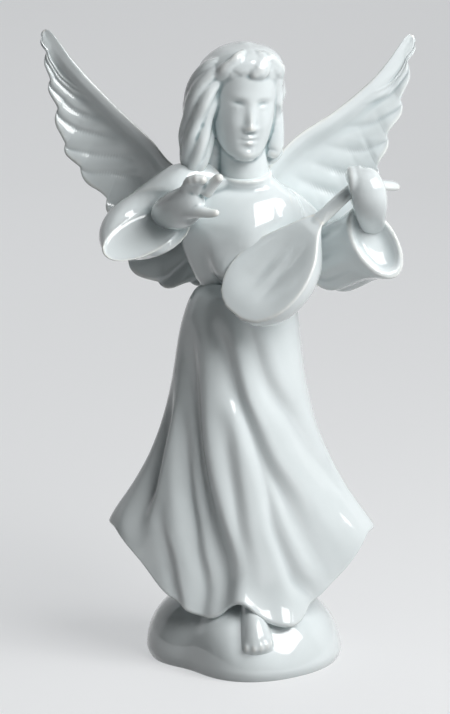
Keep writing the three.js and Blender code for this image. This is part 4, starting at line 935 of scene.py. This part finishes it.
lute_width = keyed(
    (0, 0.3), (0.03, 0.5), (0.08, 0.7), (0.2, 0.93), (0.37, 1.02), (0.55, 0.955), (0.72, 0.74), (0.86, 0.46),
    (0.95, 0.29), (1.02, 0.18), (1.1, 0.12),
)
lute_deep = keyed(
    (0, 0.2), (0.04, 0.46), (0.14, 0.78), (0.38, 1), (0.65, 0.96), (0.8, 0.78), (0.9, 0.46), (0.97, 0.22),
    (1.1, 0.16),
)
LUTE_NECK_WAY = unit((0.687, 0.192, 0.7))
LUTE_FACING = np.array([-0.37, -0.735, 0.565])
LUTE_FACING = unit(LUTE_FACING - LUTE_NECK_WAY * (LUTE_FACING @ LUTE_NECK_WAY))
LUTE_TURNED = np.stack([np.cross(LUTE_NECK_WAY, LUTE_FACING), LUTE_NECK_WAY, LUTE_FACING], axis=-1)
LUTE_PLACE = np.array([-5.2, -33.8, WAIST_HEIGHT + SHOULDER_HEIGHT - 44.5])


def lute_bowl():
    """Pear outline along the neck: a round bowl behind, and in front a dished board with a rounded rim and a
    low ridge along its middle between two soft grooves."""
    share = 1.1 * np.linspace(0, 1, 160)[:, None] ** 1.2
    turn = ring_angles(140)[None, :]
    width = lute_width(share)
    half = LUTE_HALF_WIDTH * width
    deep = LUTE_DEPTH * lute_deep(share)
    rise, side = np.sin(turn), np.cos(turn)
    x = half * np.sign(side) * np.abs(side) ** 0.7 + LUTE_NECK_SET * ease(share, 0.7, 1)
    inside = np.abs(x) / LUTE_HALF_WIDTH / width
    middle = ease(share, 0.08, 0.35) * (1 - ease(share, 0.6, 0.92))
    dish = -BOARD_DISH * (1 - ease(inside, 0.2, 0.95)) * middle
    grooves = -BOARD_GROOVE * bell(np.abs(x) - 3.6, 2.4) * bell(share - 0.45, 0.14)
    rim = mix(0.5, -1.4, ease(share, 0.88, 1.06)) * np.maximum(rise, 0) ** 0.5
    board = rim + (dish + grooves) * ease(rise, 0, 0.5)
    z = np.where(rise > 0, board, -deep * np.abs(rise) ** 0.8)
    return lofted(np.stack([x, share * LUTE_LENGTH + 0 * turn, z], axis=-1))


def lute_handle():
    """Flat-oval neck along a path that bends back at the nut into the tapering pegbox."""
    bend = np.radians(PEGBOX_BEND)
    nut = np.array([0, LUTE_NECK_END, -0.5 * LUTE_NECK_THICKNESS])
    peg_end = nut + PEGBOX_LENGTH * np.array([0, np.cos(bend), -np.sin(bend)])
    places = [
        (LUTE_NECK_SET, LUTE_LENGTH - LUTE_TENON, nut[2]),
        (0.7 * LUTE_NECK_SET, mix(LUTE_LENGTH, LUTE_NECK_END, 0.4), nut[2]),
        nut + np.array([0, -3, 0]),
        mix(nut, peg_end, 0.16),
        mix(nut, peg_end, 0.55),
        peg_end,
    ]
    taper = keyed((0, 1), (0.5, 0.92), (0.7, 0.9), (1, 1.0))
    flat = 2 * LUTE_NECK_HALF_WIDTH / LUTE_NECK_THICKNESS
    half = 0.5 * LUTE_NECK_THICKNESS
    return limb(places, lambda s: half * taper(s), side=(1, 0, 0), flat=flat, sides=48, steps=120)


def make_lute():
    """Body and neck as one melted skin, cut square to the neck where it leaves the body."""
    surfaces = [moved(surface, LUTE_TURNED, LUTE_PLACE) for surface in (lute_bowl(), lute_handle())]
    body = melted("lute_body", surfaces, 0.4, 12)
    joint = LUTE_PLACE + LUTE_TURNED @ np.array([0, LUTE_LENGTH, 0])
    return body, cut_off(body, "lute_neck", joint, LUTE_NECK_WAY)


# Finish: colours are linear, and each painted tone, shade in hollows and light on edges, has the hollowness
# where it starts and where it is full

PALE_TONES = ((0.3, (0.75, 0.81, 0.82, 1)), (0.7, (0.80, 0.86, 0.87, 1)))
# Painted shade: a dark tone in hollows. Painted light: a pale tone on rounded edges.
PAINTED_SHADE_AND_LIGHT_TONES = ((0.02, 0.14, (0.36, 0.45, 0.47, 1)), (-0.06, -0.3, (0.9, 0.91, 0.87, 1)))


def set_inputs(node, values):
    for name, value in values.items():
        node.inputs[name].default_value = value


def add_node(tree, kind, **settings):
    """A new node of a shader tree. The settings are properties of the node itself."""
    node = tree.nodes.new("ShaderNode" + kind)
    for name, value in settings.items():
        setattr(node, name, value)
    return node


def wire(start, output, end, socket):
    """Links an output of one node to an input of another."""
    start.id_data.links.new(start.outputs[output], end.inputs[socket])


def painted_shade_and_light(tree, tint):
    """The tint node's colour, blended by how hollow the skin is into painted shade in hollows and painted
    light on edges.
    """
    source, output = tint, "Color"
    hollow = add_node(tree, "Attribute", attribute_name="hollow")
    for low, high, colour in PAINTED_SHADE_AND_LIGHT_TONES:
        share = add_node(tree, "MapRange")
        set_inputs(share, {"From Min": low, "From Max": high})
        wire(hollow, "Fac", share, "Value")
        painted_tone = add_node(tree, "Mix", data_type="RGBA")
        set_inputs(painted_tone, {"B": colour})
        wire(share, "Result", painted_tone, "Factor")
        wire(source, output, painted_tone, "A")
        source, output = painted_tone, "Result"
    return painted_tone


def make_porcelain():
    """Clear glaze over cool white porcelain: a faint cloudy tone, painted shade in hollows and painted light
    on edges, and a slow waver in the gloss and the surface."""
    material = bpy.data.materials.new("porcelain_glaze")
    material.use_nodes = True
    tree = material.node_tree
    shader = tree.nodes["Principled BSDF"]
    set_inputs(shader, {"IOR": 1.52, "Coat Weight": 0.8, "Coat Roughness": 0.03})
    place = add_node(tree, "TexCoord")
    cloud = add_node(tree, "TexNoise")
    set_inputs(cloud, {"Scale": 45, "Detail": 4})
    wire(place, "Object", cloud, "Vector")
    tone = add_node(tree, "ValToRGB")
    for element, (position, colour) in zip(tone.color_ramp.elements, PALE_TONES):
        element.position = position
        element.color = colour
    wire(cloud, "Fac", tone, "Fac")
    # Base colour: the cloudy tone with painted shade in hollows and painted light on edges
    wire(painted_shade_and_light(tree, tone), "Result", shader, "Base Color")
    gloss = add_node(tree, "MapRange")
    set_inputs(gloss, {"To Min": 0.07, "To Max": 0.14})
    wire(cloud, "Fac", gloss, "Value")
    wire(gloss, "Result", shader, "Roughness")
    waver = add_node(tree, "TexNoise")
    set_inputs(waver, {"Scale": 130, "Detail": 2})
    wire(place, "Object", waver, "Vector")
    bump = add_node(tree, "Bump")
    set_inputs(bump, {"Strength": 0.12, "Distance": 0.0006})
    wire(waver, "Fac", bump, "Height")
    wire(bump, "Normal", shader, "Normal")
    return material


# Stage, in metres

FLOOR_REACH = 8.0
FLOOR_GLOW = 0.52
SWEEP_START = 1.2
SWEEP_RADIUS = 0.6
BACKDROP_HEIGHT = 3.0
PALE = (0.96, 0.98, 1, 1)
ROOM_STRENGTH = 0.025
ROOM_SEEN_STRENGTH = 0.55
LAMP_AIM = (0, 0, 0.13)
CAMERA_ELEVATION = 12  # degrees
CAMERA_DISTANCE = 1.3
CAMERA_TARGET = (-0.0083, 0, 0.1282)
CAMERA_LENS = 157.3  # millimetres


def make_pale_finish():
    """Matt grey that glows evenly to the camera and in the glaze, and is clear when seen from behind."""
    material = bpy.data.materials.new("pale_floor")
    material.use_nodes = True
    tree = material.node_tree
    shader = tree.nodes["Principled BSDF"]
    set_inputs(shader, {"Base Color": (0.34, 0.34, 0.34, 1), "Roughness": 0.75, "Emission Color": PALE})
    ray = add_node(tree, "LightPath")
    seen = add_node(tree, "Math", operation="MAXIMUM")
    wire(ray, "Is Camera Ray", seen, 0)
    wire(ray, "Is Glossy Ray", seen, 1)
    glow = add_node(tree, "Math", operation="MULTIPLY")
    glow.inputs[1].default_value = FLOOR_GLOW
    wire(seen, 0, glow, 0)
    wire(glow, 0, shader, "Emission Strength")
    side = add_node(tree, "NewGeometry")
    clear = add_node(tree, "BsdfTransparent")
    open_behind = add_node(tree, "MixShader")
    wire(side, "Backfacing", open_behind, "Fac")
    wire(shader, 0, open_behind, 1)
    wire(clear, 0, open_behind, 2)
    wire(open_behind, 0, tree.nodes["Material Output"], "Surface")
    return material


def make_floor():
    """A pale sweep: a flat floor that curves up into a plain backdrop behind the figure."""
    turn = np.linspace(0, np.pi / 2, 24)
    curve = SWEEP_START + SWEEP_RADIUS * np.sin(turn)
    run = np.concatenate([[-FLOOR_REACH, -1.0], curve, [SWEEP_START + SWEEP_RADIUS]])
    rise = np.concatenate([[0, 0], SWEEP_RADIUS * (1 - np.cos(turn)), [BACKDROP_HEIGHT]])
    x = np.array([-FLOOR_REACH, FLOOR_REACH])
    points = np.stack(np.broadcast_arrays(x[None, :], run[:, None], rise[:, None]), axis=-1).reshape(-1, 3)
    here = np.arange(len(run) - 1)[:, None] * 2
    faces = here + np.array([0, 1, 3, 2])
    mesh = bpy.data.meshes.new("floor")
    mesh.from_pydata(points, [], faces.tolist())
    mesh.shade_smooth()
    mesh.materials.append(make_pale_finish())
    floor = put("floor", mesh)


def make_lamp(name, way, distance, size, watts, mirrored=True):
    """A soft box in a direction (turn from +X, height, in degrees) from the figure's middle, which it faces.
    One that isn't mirrored lights the figure but leaves no picture of itself in the glaze."""
    turn, height = np.radians(way)
    outward = np.array([np.cos(turn) * np.cos(height), np.sin(turn) * np.cos(height), np.sin(height)])
    light = bpy.data.lights.new(name, "AREA")
    light.shape = "RECTANGLE"
    light.size, light.size_y = size
    light.energy = watts
    lamp = put(name, light)
    lamp.location = np.array(LAMP_AIM) + distance * outward
    lamp.rotation_euler = Vector(outward).to_track_quat("Z", "Y").to_euler()
    lamp.visible_glossy = mirrored


def make_light():
    """Soft light from the left, two higher panes that show in the glaze as a window with a bar between, weak
    lights from above, behind and the front, and a dim room that looks pale to the camera."""
    make_lamp("key", (-24, 28), 1.05, (0.8, 0.8), 3.2, mirrored=False)
    for name, turn in (("pane", -25), ("pane_beside", -55)):
        make_lamp(name, (turn, 41), 1.05, (0.38, 0.64), 5.1)
    make_lamp("top", (-124, 75), 1.42, (0.8, 0.8), 0.5)
    make_lamp("behind", (110, 30), 1.4, (1.0, 1.0), 2.6, mirrored=False)
    make_lamp("front", (-100, 15), 1.4, (0.8, 0.8), 0.3, mirrored=False)
    world = bpy.data.worlds.new("room")
    world.use_nodes = True
    tree = world.node_tree
    background = tree.nodes["Background"]
    set_inputs(background, {"Color": PALE})
    ray = add_node(tree, "LightPath")
    strength = add_node(tree, "MapRange")
    set_inputs(strength, {"To Min": ROOM_STRENGTH, "To Max": ROOM_SEEN_STRENGTH})
    wire(ray, "Is Camera Ray", strength, "Value")
    wire(strength, "Result", background, "Strength")
    bpy.context.scene.world = world


def make_camera():
    """The photograph's view, from a little above, aimed so that the figure sits as in its frame."""
    elevation = np.radians(CAMERA_ELEVATION)
    outward = Vector((0, -np.cos(elevation), np.sin(elevation)))
    data = bpy.data.cameras.new("camera")
    data.sensor_width = 36
    data.lens = CAMERA_LENS
    camera = put("camera", data)
    camera.location = Vector(CAMERA_TARGET) + outward * CAMERA_DISTANCE
    camera.rotation_euler = (np.pi / 2 - elevation, 0, 0)
    bpy.context.scene.camera = camera


bodice, right_sleeve, left_sleeve = make_gown_top()
lute_body, lute_neck = make_lute()
PIECES = [
    make_base(),
    make_foot(),
    make_skirt(),
    bodice,
    right_sleeve,
    left_sleeve,
    make_head(),
    make_right_hand(),
    make_left_hand(),
    make_wing("right_wing", RIGHT_WING, -1),
    make_wing("left_wing", LEFT_WING, 1),
    lute_body,
    lute_neck,
]
porcelain = make_porcelain()
for piece in PIECES:
    # The hollowness mark steers the glaze's painted shade in hollows and painted light on edges
    mark_hollows(piece)
    piece.data.materials.clear()
    piece.data.materials.append(porcelain)
    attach(piece, "root")
    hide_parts(piece.name.removeprefix(PREFIX))

make_floor()
make_light()
make_camera()
bpy.context.scene.view_settings.view_transform = "Standard"
